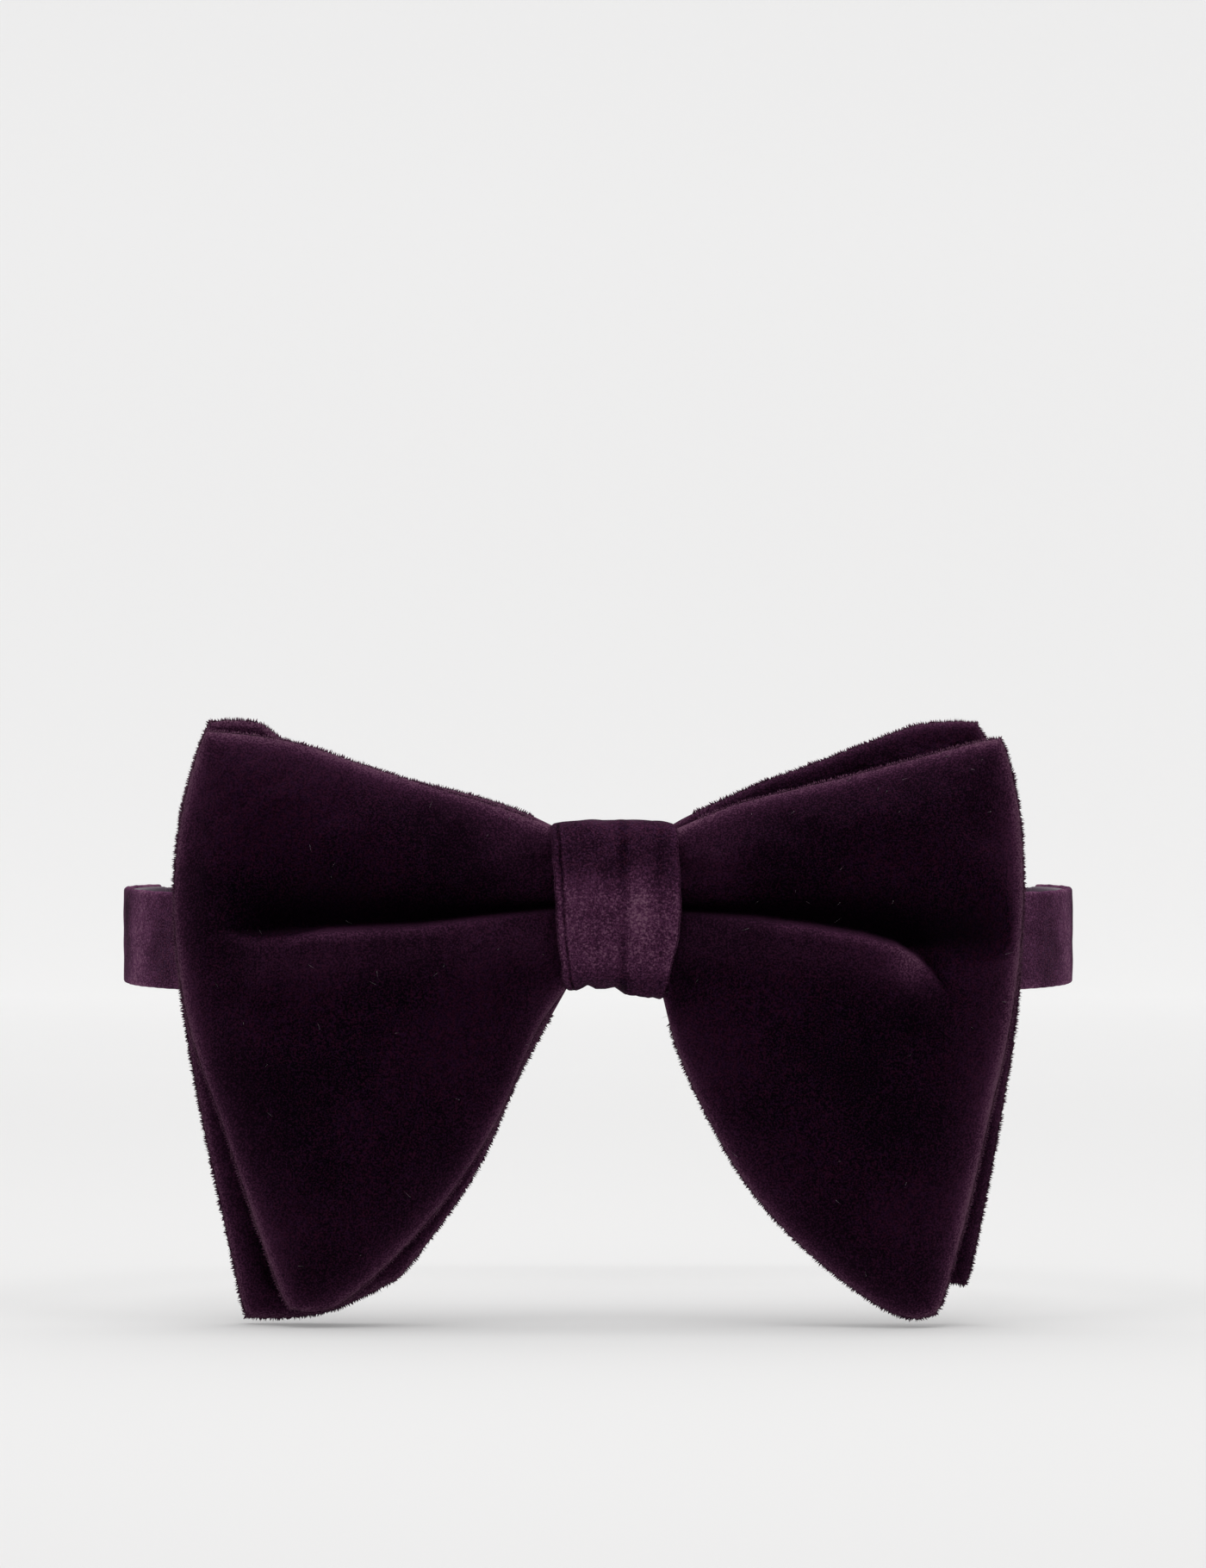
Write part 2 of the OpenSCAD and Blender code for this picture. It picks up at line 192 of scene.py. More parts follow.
def bumped(tree, shader, height, strength, depth_mm):
    """Wires a height in 0..1 to the shader's normal as a bump of that depth."""
    made = node(tree, "ShaderNodeBump", Strength=strength, Distance=depth_mm * MM)
    tree.links.new(height, made.inputs["Height"])
    tree.links.new(made.outputs["Normal"], shader.inputs["Normal"])


def shade(colour, amount):
    """A colour made darker or paler by a factor."""
    return tuple(c * amount for c in colour)


def surface(tree, shader, tone, dark, pale, rough, height, bump, **sockets):
    """Wires a finish to its shader: colour from dark to pale by tone, roughness from an
    output and the numbers that stretch it, a bump from a height and its strength and depth,
    and one value on each further socket."""
    dark, pale = ((*c, 1) if isinstance(c, tuple) else c for c in (dark, pale))
    tree.links.new(mixed(tree, tone, dark, pale), shader.inputs["Base Color"])
    tree.links.new(stretch(tree, *rough), shader.inputs["Roughness"])
    bumped(tree, shader, height, *bump)
    for key, value in sockets.items():
        shader.inputs[key.replace("_", " ")].default_value = value


def place(tree, which, scale=(1, 1, 1)):
    """Object coordinates or the piece's own UV, scaled so that one unit is a millimetre."""
    coordinates = node(tree, "ShaderNodeTexCoord")
    mapping = node(tree, "ShaderNodeMapping", Scale=[s * 1000 for s in scale])
    tree.links.new(coordinates.outputs[which], mapping.inputs["Vector"])
    return mapping.outputs["Vector"]


# %% [markdown]
# ## The light
# One broad lamp hangs over the bow and a little in front of it, and a pale sky gives the rest:
# brightest overhead and behind the bow, dimmer below and on the viewer's side. Velvet is dark
# where it faces the viewer and pale where the pile is seen edge on. The shader's faint sheen
# takes some of that paleness from the white round it, and painted sheen in the velvet's
# colour gives most of it.


# %% Light
def area_light(name, size, place, aim, watts):
    """A square lamp of that size in metres, turned so that it faces a point."""
    data = bpy.data.lights.new(name, "AREA")
    data.shape = "SQUARE"
    data.size = size
    data.energy = watts
    lamp = bpy.data.objects.new(name, data)
    lamp.location = place
    lamp.rotation_euler = Vector(np.subtract(aim, place)).to_track_quat("-Z", "Y").to_euler()
    bpy.context.scene.collection.objects.link(lamp)
    return lamp


area_light("overhead", 0.6, (0.0, -0.16, 0.80), (0, -0.05, 0), 4.0)
world = bpy.data.worlds.new("studio")
bpy.context.scene.world = world
world.use_nodes = True
sky = world.node_tree
direction = components(sky, "Generated")
upward = stretch(sky, direction["Z"], -0.2, 0.9, 0.35, 1.15)
behind = stretch(sky, direction["Y"], -0.9, 0.1, 0.30, 1.0)
sky.links.new(maths(sky, "MULTIPLY", upward, behind), sky.nodes["Background"].inputs["Strength"])
sky.nodes["Background"].inputs["Color"].default_value = (1.0, 0.99, 0.985, 1)
bpy.context.scene.view_settings.view_transform = "Standard"

# %% [markdown]
# ## Meshes from grids
# Every piece here is a surface worked out as a grid of points: two numbers, u and v, run
# along and across it. The points come out of numpy as whole arrays, and the faces follow
# from the grid's rows and columns, so one short helper makes them all.


# %% Grid and mesh helpers
def grid_faces(rows, cols, wrap_cols=False, flip=False, start=0):
    """Quads of a rows x cols grid of points, stored row by row from index start. With
    wrap_cols the last column joins the first."""
    r = np.arange(rows - 1)[:, None]
    c = np.arange(cols if wrap_cols else cols - 1)[None, :]
    c1 = (c + 1) % cols
    a, b = r * cols + c, r * cols + c1
    d, e = (r + 1) * cols + c, (r + 1) * cols + c1
    quads = np.stack([a, b, e, d], axis=-1).reshape(-1, 4) + start
    return quads[:, ::-1] if flip else quads


def make_piece(name, points, quads, uv=None, material=None, edge=None):
    """A mesh object from points in millimetres and quads. uv holds one pair for each point,
    and edge one number, which materials read as the attribute "edge"."""
    mesh = bpy.data.meshes.new(name)
    points = np.asarray(points, float).reshape(-1, 3) * MM
    quads = np.asarray(quads, np.int64)
    size = quads.shape[1]
    mesh.vertices.add(len(points))
    mesh.vertices.foreach_set("co", points.astype(np.float32).ravel())
    mesh.loops.add(quads.size)
    mesh.loops.foreach_set("vertex_index", quads.astype(np.int32).ravel())
    mesh.polygons.add(len(quads))
    mesh.polygons.foreach_set("loop_start", np.arange(0, quads.size, size, dtype=np.int32))
    mesh.polygons.foreach_set("use_smooth", np.ones(len(quads), bool))
    mesh.update(calc_edges=True)
    if uv is not None:
        layer = mesh.uv_layers.new(name="cloth")
        layer.data.foreach_set("uv", np.asarray(uv, np.float32)[quads.ravel()].ravel())
    if edge is not None:
        attribute = mesh.attributes.new("edge", "FLOAT", "POINT")
        attribute.data.foreach_set("value", np.asarray(edge, np.float32).ravel())
    mesh.validate()
    piece = bpy.data.objects.new(name, mesh)
    bpy.context.scene.collection.objects.link(piece)
    if material is not None:
        mesh.materials.append(material)
    return piece


def sheet_quads(rows, cols):
    """Quads of a closed sheet: an outer grid, an inner grid stored after it, and a strip
    round their four borders."""
    outer = grid_faces(rows, cols)
    inner = grid_faces(rows, cols, flip=True, start=rows * cols)
    index = np.arange(rows * cols).reshape(rows, cols)
    ring = np.concatenate([index[0], index[1:, -1], index[-1, -2::-1], index[-2:0:-1, 0]])
    ring2 = ring + rows * cols
    side = np.stack([np.roll(ring, -1), ring, ring2, np.roll(ring2, -1)], axis=-1)
    return np.concatenate([outer, inner, side])


def turn_outwards(piece):
    """Recalculates a closed piece's faces so that they all point outwards."""
    work = bmesh.new()
    work.from_mesh(piece.data)
    bmesh.ops.recalc_face_normals(work, faces=work.faces)
    work.to_mesh(piece.data)
    work.free()


def surface_normals(grid):
    """Unit normals of a grid of points: the cross product of its two directions."""
    across = np.gradient(grid, axis=1)
    along = np.gradient(grid, axis=0)
    n = np.cross(across, along)
    return n / np.maximum(np.linalg.norm(n, axis=-1, keepdims=True), 1e-9)


def run_length(line):
    """Length along a line of points, up to each of them."""
    return np.concatenate([[0], np.cumsum(np.linalg.norm(np.diff(line, axis=0), axis=1))])


def points_at(line, run, at):
    """Points of a line at given lengths along it, straight between its own points."""
    return np.stack([np.interp(at, run, line[:, k]) for k in range(line.shape[1])], axis=-1)


def spline(points, t):
    """A smooth curve through every point (Catmull-Rom), at t from 0 to 1."""
    p = np.asarray(points, float)
    p = np.vstack([2 * p[0] - p[1], p, 2 * p[-1] - p[-2]])
    s = np.clip(np.asarray(t, float), 0, 1) * (len(p) - 3)
    i = np.minimum(s.astype(int), len(p) - 4)
    f = (s - i)[..., None]
    a, b, c, d = p[i], p[i + 1], p[i + 2], p[i + 3]
    return 0.5 * (2 * b + (c - a) * f + (2 * a - 5 * b + 4 * c - d) * f ** 2
                  + (3 * b - a - 3 * c + d) * f ** 3)


def smooth(x, low=0.0, high=1.0):
    """0 below low, 1 above high, and a smooth S between them."""
    t = np.clip((x - low) / (high - low), 0, 1)
    return t * t * (3 - 2 * t)


def hump(x, middle, width):
    """A bell curve of height 1."""
    return np.exp(-((x - middle) / width) ** 2)


def ripple(x, z, seed, size):
    """Soft uneven waves about 1 high: five sine waves in seeded directions."""
    rng = np.random.default_rng(seed)
    total = np.zeros(np.broadcast(x, z).shape)
    for _ in range(5):
        angle, phase = rng.uniform(0, 2 * math.pi, 2)
        k = 2 * math.pi / (size * rng.uniform(0.7, 1.5))
        total += np.sin(k * (x * math.cos(angle) + z * math.sin(angle)) + phase)
    return total / 2.5


print("helpers ready")

# %% [markdown]
# ## Velvet
# Velvet is a ground cloth with a dense pile standing on it. Seen end on, the pile swallows
# light and looks nearly black. Seen from the side it shows its colour and a faint sheen. The
# shader gives the sheen. The base colour carries fine grain from single tufts and streaks
# where the pile is brushed, and painted light too: painted sheen and painted highlights on
# rims, folds and the pleat's lip, and near-black painted shade in the mouth of the fold. Each
# mesh says where that is, by an attribute named "edge".


# %% Velvet material
def velvet(name, slot, deep, mid, highlight, coordinates="Object", beads=0.0, patch_mm=17.0):
    """Pile cloth in four colours: deep where the pile is seen end on, two mids where grain
    and brushing tilt it, one redder and one bluer, and highlight, a painted sheen and painted
    highlight colour, where the attribute "edge" is above nought. Where "edge" is below nought
    the colour is painted shade, near black. beads is how much the tuft rows show, as they do
    where the pile is pressed."""
    material, tree, shader = new_material(name, slot)
    spot = place(tree, coordinates)
    brushed = place(tree, coordinates, (1, 1, 0.45))
    tuft = noise(tree, spot, 3.4, 2.0, 0.6)
    streak = noise(tree, brushed, 0.8, 2.0, 0.5)
    patch = noise(tree, spot, 1 / patch_mm, 1.5, 0.45)
    edge = node(tree, "ShaderNodeAttribute", attribute_name="edge").outputs["Fac"]
    grain = stretch(tree, tuft, 0.42, 0.63, -0.05, 0.95)
    lay = stretch(tree, streak, 0.36, 0.68, 0.0, 0.16)
    cloud = stretch(tree, patch, 0.34, 0.66, -0.26, 0.20)
    tilt = weighted(tree, (grain, 1), (lay, 1), (cloud, 1), clamp=True)
    uneven = maths(tree, "ADD", tilt, 0.45)
    # painted light: above nought, "edge" moves the colour towards the painted sheen and highlight
    painted_light = maths(tree, "MULTIPLY", maths(tree, "MAXIMUM", edge, 0.0), uneven, clamp=True)
    height = weighted(tree, (tuft, 0.8), (streak, 0.4))
    if beads:
        tufted = node(tree, "ShaderNodeTexVoronoi", Scale=1.75)
        tree.links.new(place(tree, coordinates, (0.86, 0.86, 1.1)), tufted.inputs["Vector"])
        bead = stretch(tree, tufted.outputs["Distance"], 0.12, 0.62, 1.0, 0.0)
        height = weighted(tree, (height, 1), (bead, beads))
        shown = maths(tree, "ADD", maths(tree, "MULTIPLY", bead, beads), 0.62)
        painted_light = maths(tree, "MULTIPLY", painted_light, shown, clamp=True)
    bluer = (mid[0] * 0.82, mid[1], mid[2] * 1.06)
    redder = (mid[0] * 1.15, mid[1], mid[2] * 0.92)
    middle = mixed(tree, stretch(tree, noise(tree, spot, 1.5), 0.42, 0.58),
                   (*bluer, 1), (*redder, 1))
    ground = mixed(tree, tilt, (*deep, 1), middle)
    # painted shade: below nought, "edge" darkens the ground to near black
    closed = mixed(tree, stretch(tree, edge, -1.0, 0.0, 1.0, 0.0), ground,
                   (*shade(deep, 0.6), 1))
    # a colour halfway to the painted highlight, then the painted highlight itself
    half_highlight = tuple(k * (0.5 * a + 0.33 * b) for k, a, b in zip((1.15, 0.82, 1.18), mid, highlight))
    with_half_highlight = mixed(tree, stretch(tree, painted_light, 0.0, 0.45), closed, (*half_highlight, 1))
    surface(tree, shader, stretch(tree, painted_light, 0.35, 1.0), with_half_highlight, highlight,
            (tuft, 0.25, 0.75, 0.80, 1.0), height, (0.8, 0.25), Specular_IOR_Level=0.02,
            Sheen_Weight=0.025, Sheen_Roughness=0.3, Sheen_Tint=(0.75, 0.34, 0.62, 1))
    return material


# The first two colours of each velvet are its own; the third is its painted sheen and highlight
# colour.
DEEP = (0.0012, 0.0003, 0.0018)
MID = (0.0190, 0.0034, 0.0140)
HIGHLIGHT = (0.125, 0.058, 0.094)
wing_velvet = velvet("wing_velvet", "plum_velvet", DEEP, MID, HIGHLIGHT)
back_velvet = velvet("back_velvet", "bow_back_velvet", DEEP, MID, HIGHLIGHT)
knot_velvet = velvet("knot_velvet", "plum_velvet", (0.0045, 0.0010, 0.0045),
                     (0.036, 0.0095, 0.0270), (0.185, 0.088, 0.140), beads=0.8, patch_mm=6.0)
band_velvet = velvet("band_velvet", "plum_velvet", (0.012, 0.0030, 0.0100),
                     (0.066, 0.0230, 0.052), (0.215, 0.105, 0.165), coordinates="UV",
                     beads=0.75, patch_mm=5.0)
print("velvets:", [m.name for m in (wing_velvet, back_velvet, knot_velvet, band_velvet)])

# %% [markdown]
# ## Satin, ribbon, canvas, thread and nickel
# The hidden cloths are flat weaves, so each gets the pattern that its weave gives: satin has
# long floats that shine one way, grosgrain has a rib across it about every millimetre, the
# canvas inside the wings is an open plain weave, and thread is twisted. The clasp is nickel
# plated steel: fine rolling marks along it, small scratches, and cloudy where it is handled.


# %% Other materials
def satin(name, slot, colour):
    """Smooth warp-faced cloth: fine lines along it, a soft gloss and slight unevenness."""
    material, tree, shader = new_material(name, slot)
    lines = noise(tree, place(tree, "Object", (6, 6, 0.5)), 1.2)
    patch = noise(tree, place(tree, "Object"), 0.15, 3.0)
    tone = weighted(tree, (lines, 0.5), (patch, 0.6), clamp=True)
    surface(tree, shader, tone, shade(colour, 0.7), shade(colour, 1.5),
            (lines, 0.3, 0.7, 0.30, 0.48), lines, (0.25, 0.06),
            Specular_IOR_Level=0.22, Sheen_Weight=0.03)
    return material


def grosgrain(name, slot, colour, rib_mm):
    """Ribbed ribbon: a wave along the ribbon's own length, fine noise for the threads."""
    material, tree, shader = new_material(name, slot)
    along = place(tree, "UV")
    rib = waves(tree, along, "X", rib_mm, 0.25)
    threads = noise(tree, along, 3.5)
    patch = noise(tree, along, 0.12)
    tone = weighted(tree, (rib, 0.55), (threads, 0.3), (patch, 0.25), clamp=True)
    surface(tree, shader, tone, shade(colour, 0.45), shade(colour, 1.5),
            (threads, 0.3, 0.7, 0.50, 0.72), weighted(tree, (rib, 1), (threads, 0.25)),
            (0.6, 0.18), Specular_IOR_Level=0.25, Sheen_Weight=0.05)
    return material


def canvas(name, slot, colour, thread_mm=0.55):
    """Open plain weave: two sets of lines that cross, and uneven threads."""
    material, tree, shader = new_material(name, slot)
    spot = place(tree, "Object")
    sets = [waves(tree, spot, bands, thread_mm, 0.8) for bands in ("X", "Z")]
    weave = maths(tree, "MAXIMUM", *sets)
    slub = noise(tree, spot, 0.8, 3.0)
    tone = maths(tree, "MULTIPLY", weave, maths(tree, "ADD", slub, 0.4), clamp=True)
    surface(tree, shader, tone, shade(colour, 0.6), colour, (slub, 0.3, 0.7, 0.80, 0.95),
            weave, (0.6, 0.2))
    return material


def sewing_thread(name, slot, colour):
    """Twisted thread: slanting bands and a slight gloss."""
    material, tree, shader = new_material(name, slot)
    spot = place(tree, "Object")
    twist = waves(tree, spot, "DIAGONAL", 0.3, 0.4)
    surface(tree, shader, twist, shade(colour, 0.5), shade(colour, 1.8),
            (noise(tree, spot, 4.0), 0.3, 0.7, 0.45, 0.7), twist, (0.5, 0.08))
    return material


def nickel_plate(name, slot):
    """Satin nickel: fine lines from rolling, small scratches, and cloudy handling marks."""
    material, tree, shader = new_material(name, slot)
    rolled = noise(tree, place(tree, "Object", (9, 9, 0.6)), 1.4, 3.0, 0.6)
    marks = noise(tree, place(tree, "Object", (0.8, 0.8, 7)), 1.1, 4.0, 0.7)
    handled = noise(tree, place(tree, "Object"), 0.35, 3.0)
    tone = weighted(tree, (rolled, 0.5), (handled, 0.5), clamp=True)
    shine = weighted(tree, (handled, 0.5), (marks, 0.5))
    surface(tree, shader, tone, (0.36, 0.345, 0.32), (0.58, 0.565, 0.535),
            (shine, 0.3, 0.7, 0.27, 0.44), weighted(tree, (rolled, 1), (marks, 0.6)),
            (0.05, 0.03), Metallic=1.0)
    return material


PLUM = (0.050, 0.020, 0.046)
RIB = 0.9
lining_satin = satin("lining_satin", "satin_lining", PLUM)
ribbon_cloth = grosgrain("ribbon_cloth", "grosgrain_ribbon", PLUM, RIB)
wing_canvas = canvas("wing_canvas", "cotton_interlining", (0.68, 0.64, 0.58))
plum_thread = sewing_thread("plum_thread", "sewing_thread", (0.050, 0.022, 0.045))
clasp_nickel = nickel_plate("clasp_nickel", "nickel")


def finish_node(name, material):
    """Gives a CAD node that stays visible its finish, in every slot it has."""
    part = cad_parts[name]
    if not part.data.materials:
        part.data.materials.append(material)
    for slot_index in range(len(part.material_slots)):
        part.material_slots[slot_index].material = material


kept_nodes = {"eye_ring": clasp_nickel, "hook": clasp_nickel, "slider": clasp_nickel}
for ending, material in (("_interlining", wing_canvas), ("_stitches", plum_thread)):
    kept_nodes.update({name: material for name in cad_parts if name.endswith(ending)})
for node_name, material in kept_nodes.items():
    finish_node(node_name, material)
print("CAD nodes kept:", len(kept_nodes))

# %% [markdown]
# ## The wings
# Each wing is a pouch: a face panel and a back panel of velvet, sewn round three edges and
# turned, with a stiff interlining between them. Its outline is four curves, blended across the
# wing (a Coons patch), so a handful of points sets the whole shape. The thickness is a second
# function: a round rim, a full middle, and on the front wings the long pleat that leaves the
# knot. There the upper half turns under and the lower half starts with a rounded lip.

# %% Wing outlines
# Seen from the front, in millimetres: bottom and top run from the knot outwards, outer runs
# from the lower tip upwards. Each outline keeps within about a millimetre of its CAD panel.
OUTLINES = {
    "front_left": {
        "top": [(-4, 17), (-15, 21.4), (-27, 25), (-39, 28.9), (-50, 32.4), (-64.2, 34.3)],
        "bottom": [(-4, -6.0), (-10.1, -15), (-16.5, -29.4), (-24.1, -41.3), (-33.6, -52),
                   (-42.5, -59.4), (-50.4, -60.8)],
        "outer": [(-50.4, -60.8), (-55.6, -46.5), (-61.2, -29.8), (-66.6, -14), (-69, 3),
                  (-68, 19.5), (-64.2, 34.3)]},
    "front_right": {
        "top": [(10, 17), (21.4, 21.8), (32, 24.6), (43, 27.3), (53, 30), (66, 33.4)],
        "bottom": [(10, -7), (13.0, -18), (18.4, -29.8), (25.3, -41.2), (34.9, -51.3),
                   (47.0, -60.2), (55.2, -62.0)],
        "outer": [(55.2, -62.0), (59.5, -47), (63.4, -30.4), (67.3, -13), (69.2, 4),
                  (68.8, 20), (66, 33.4)]},
    "rear_left": {
        "top": [(-4, 17), (-13, 21.2), (-23, 24.3), (-31, 26.0), (-41, 28.7), (-51, 32.6),
                (-56, 35.6), (-63.9, 36.0)],
        "bottom": [(-4, -6.0), (-12.5, -21.5), (-20.0, -38.0), (-30.4, -52.8),
                   (-35.4, -56.9), (-45.5, -61.2), (-57.8, -62.2)],
        "outer": [(-57.8, -62.2), (-61.7, -44), (-64.7, -30), (-67.7, -13), (-69.2, 3),
                  (-68.4, 20), (-63.9, 36.0)]},
    "rear_right": {
        "top": [(10, 17), (14, 19.9), (26.5, 25.6), (35, 28.7), (46.9, 33.3), (53.2, 35.3),
                (62.3, 35.9)],
        "bottom": [(10, -7), (17, -22), (25, -34), (34.5, -44.5), (45.5, -52.5),
                   (60.4, -57.0)],
        "outer": [(60.4, -57.0), (63.2, -44), (65.8, -30), (68.2, -15), (69.4, 0),
                  (68.6, 18), (62.3, 35.9)]},
}
# How far each wing's two outer corners are drawn in by turning: lower, upper
DRAWN_IN = {"front_left": (0.8, 0.3), "front_right": (1.1, 0.5), "rear_left": (0.4, 0.3),
            "rear_right": (0.5, 0.4)}


def wing_plan(wing, u, v):
    """x and z of a wing: its bottom and top curves blended by v, plus its inner and outer
    curves blended by u, less the plain blend of its four corners. The two outer corners are
    then drawn in a little, because turned cloth never fills its corners."""
    curves = OUTLINES[wing]
    low = spline(curves["bottom"], u)
    high = spline(curves["top"], u)
    outer = spline(curves["outer"], v)
    corner = [np.array(curves[name][end], float) for name, end in
              (("bottom", 0), ("top", 0), ("outer", 0), ("outer", -1))]
    inner = corner[0] + (corner[1] - corner[0]) * v[..., None]
    u, v = u[..., None], v[..., None]
    plan = ((1 - v) * low + v * high + (1 - u) * inner + u * outer
            - (1 - u) * ((1 - v) * corner[0] + v * corner[1])
            - u * ((1 - v) * corner[2] + v * corner[3]))
    middle = np.array([corner[2][0] * 0.7, 0.0])
    for tip, amount in zip((corner[2], corner[3]), DRAWN_IN[wing]):
        inwards = (middle - tip) / np.linalg.norm(middle - tip)
        near = np.linalg.norm(plan - tip, axis=-1, keepdims=True)
        plan = plan + inwards * amount * np.exp(-(near / 2.0) ** 2)
    return plan


# %% Wing thickness
RIM = 1.25
PANEL = 0.55
SEAM = 0.03
MIDDLE = {name: sum(corner[1] for corner in box_mm(name + "_interlining")) / 2
          for name in OUTLINES}
print("wing planes, mm:", {k: round(v, 2) for k, v in MIDDLE.items()})


def to_edges(wing, u, v):
    """Distance in millimetres from each point to the wing's nearest free edge, blended
    smoothly where two edges are equally near."""
    p = wing_plan(wing, u, v)
    far = np.full(u.shape, 1.0)
    to_low = np.linalg.norm(p - wing_plan(wing, u, v * 0), axis=-1)
    to_high = np.linalg.norm(p - wing_plan(wing, u, far), axis=-1)
    to_side = np.linalg.norm(p - wing_plan(wing, far, v), axis=-1)
    near = np.minimum(np.minimum(to_low, to_high), to_side)
    soft = (1 / (to_low + 0.3) ** 3 + 1 / (to_high + 0.3) ** 3 + 1 / (to_side + 0.3) ** 3)
    return np.where(near < 0.01, near, np.minimum(near, soft ** (-1 / 3)))


def rim_profile(d):
    """A quarter circle of radius RIM from the edge inwards, then level."""
    return RIM * np.sqrt(1 - (1 - np.clip(d / RIM, 0, 1)) ** 2)


# Where the pleat's lip runs, as [distance out from the knot, z]. The left one runs level and
# the right one turns down at its end. Above each lies the mouth of the fold, painted dark as
# shade; its table gives the two distances between which it ends, its height, and how low it
# can reach. LIP_END is the share of the wing's length over which the lip fades out.
LIPS = {"front_left": [(0, 5.7), (10, 4.6), (22, 3.2), (36, 2.5), (48, 1.7), (58, 2.2)],
        "front_right": [(0, 5.3), (12, 4.4), (22, 3.1), (30, 1.7), (35, 0.2), (38.5, -2.0),
                        (41, -4.8), (43, -8)]}
LIP_END = {"front_left": (0.78, 0.93), "front_right": (0.72, 0.84)}
FOLD_SHADE = {"front_left": (45, 53, 6.6, -9), "front_right": (46, 57, 7.5, -0.8)}
# where the painted highlight on the right lip's turn is centred, as x and z
LIP_HIGHLIGHT_AT = (50.5, -3.0)
FULL = {"front_left": 6.8, "front_right": 6.8, "rear_left": 3.0, "rear_right": 3.0}


def from_knot(wing, x):
    """Distance outwards from the knot's side, in millimetres."""
    side = -1 if "left" in wing else 1
    return side * (x - OUTLINES[wing]["top"][0][0]) - 3.4


def fold_shade_mask(wing, x, z):
    """1 where painted shade darkens the open fold above the lip, 0 elsewhere: sharp at the
    lip, soft above.
    """
    out = from_knot(wing, x)
    start, end, tall, lowest = FOLD_SHADE[wing]
    s = z - np.maximum(lip_height(wing, x), lowest)
    height = 0.5 + tall * smooth(out, 0, 0.9 * start)
    upper = np.exp(-np.clip(s / height, 0, 9) ** 2.6)
    blur = 0.4 + 2.6 * smooth(out, start - 9, start)
    return smooth(s / blur, -1.0, 0.7) * upper * (1 - smooth(out, start, end))


def lip_height(wing, x):
    """z of the pleat's lip at each x, by straight lines between its points."""
    table = np.array(LIPS[wing], float)
    return np.interp(from_knot(wing, x), table[:, 0], table[:, 1])


def face_depth(wing, u, plan, d):
    """How far the face panel stands in front of the wing's middle plane, in millimetres: a
    rim, a swelling that is full 20 mm in, and on the front wings the pleat. Above the lip the
    surface sinks away slowly, as the upper half turns under, and below it the lower half
    comes back within a millimetre. plan holds x and z, and d the distance to the edges."""
    x, z = plan[..., 0], plan[..., 1]
    swell = 1 - np.exp(-d / 8.0)
    gather = 0.66 + 0.34 * smooth(u, 0.0, 0.3)
    depth = rim_profile(d) + (FULL[wing] - RIM) * swell * gather
    depth = depth + 0.3 * swell * ripple(x, z, len(wing), 26)
    if wing in LIPS:
        s = z - lip_height(wing, x)
        fade = 1 - smooth(u, *LIP_END[wing])
        wide = 1.2 + 6.2 * smooth(u, 0.02, 0.6)
        above = 1 / (1 + np.clip(s / wide, 0, 99) ** 2.2)
        below = np.exp(-np.clip(-s / 0.6, 0, 9) ** 2.0)
        dip = np.where(s > 0, above, below) * fade
        lowest = RIM * 0.8
        depth = depth + 1.1 * fade * swell * hump(s, -3.5, 5.0)
        depth = depth + 0.9 * swell * hump(s, 17.0, 8.0)
        depth = depth - dip * np.maximum(depth - lowest, 0)
    return depth


def back_depth(wing, plan, d):
    """How far the back panel stands behind the middle plane: a flatter pouch."""
    full = 3.3 if "front" in wing else 2.1
    swell = 1 - np.exp(-d / 9.0)
    return (rim_profile(d) + (full - RIM) * swell
            + 0.12 * swell * ripple(plan[..., 0], plan[..., 1], 7 + len(wing), 24))


# %% [markdown]
# ## Letting the cloth settle
# A turned pouch never follows a formula exactly. Its velvet is cut a little larger than the
# canvas inside, and the spare swells and puckers between the lines that hold it: the seams,
# the knot and the pleat. Those soft shapes come from Blender's cloth solver. It gets a coarse
# copy of the panel, ten times as large because it works best near a metre, with the held
# lines fixed, no gravity and a little pressure. Only how far each point moved is kept, never
# more than a cap, and it is spread over the fine grid.


# %% Cloth
SOLVER_SCALE = 10
SPARE = 0.03
PRESSURE = 0.6
MOST = 1.3


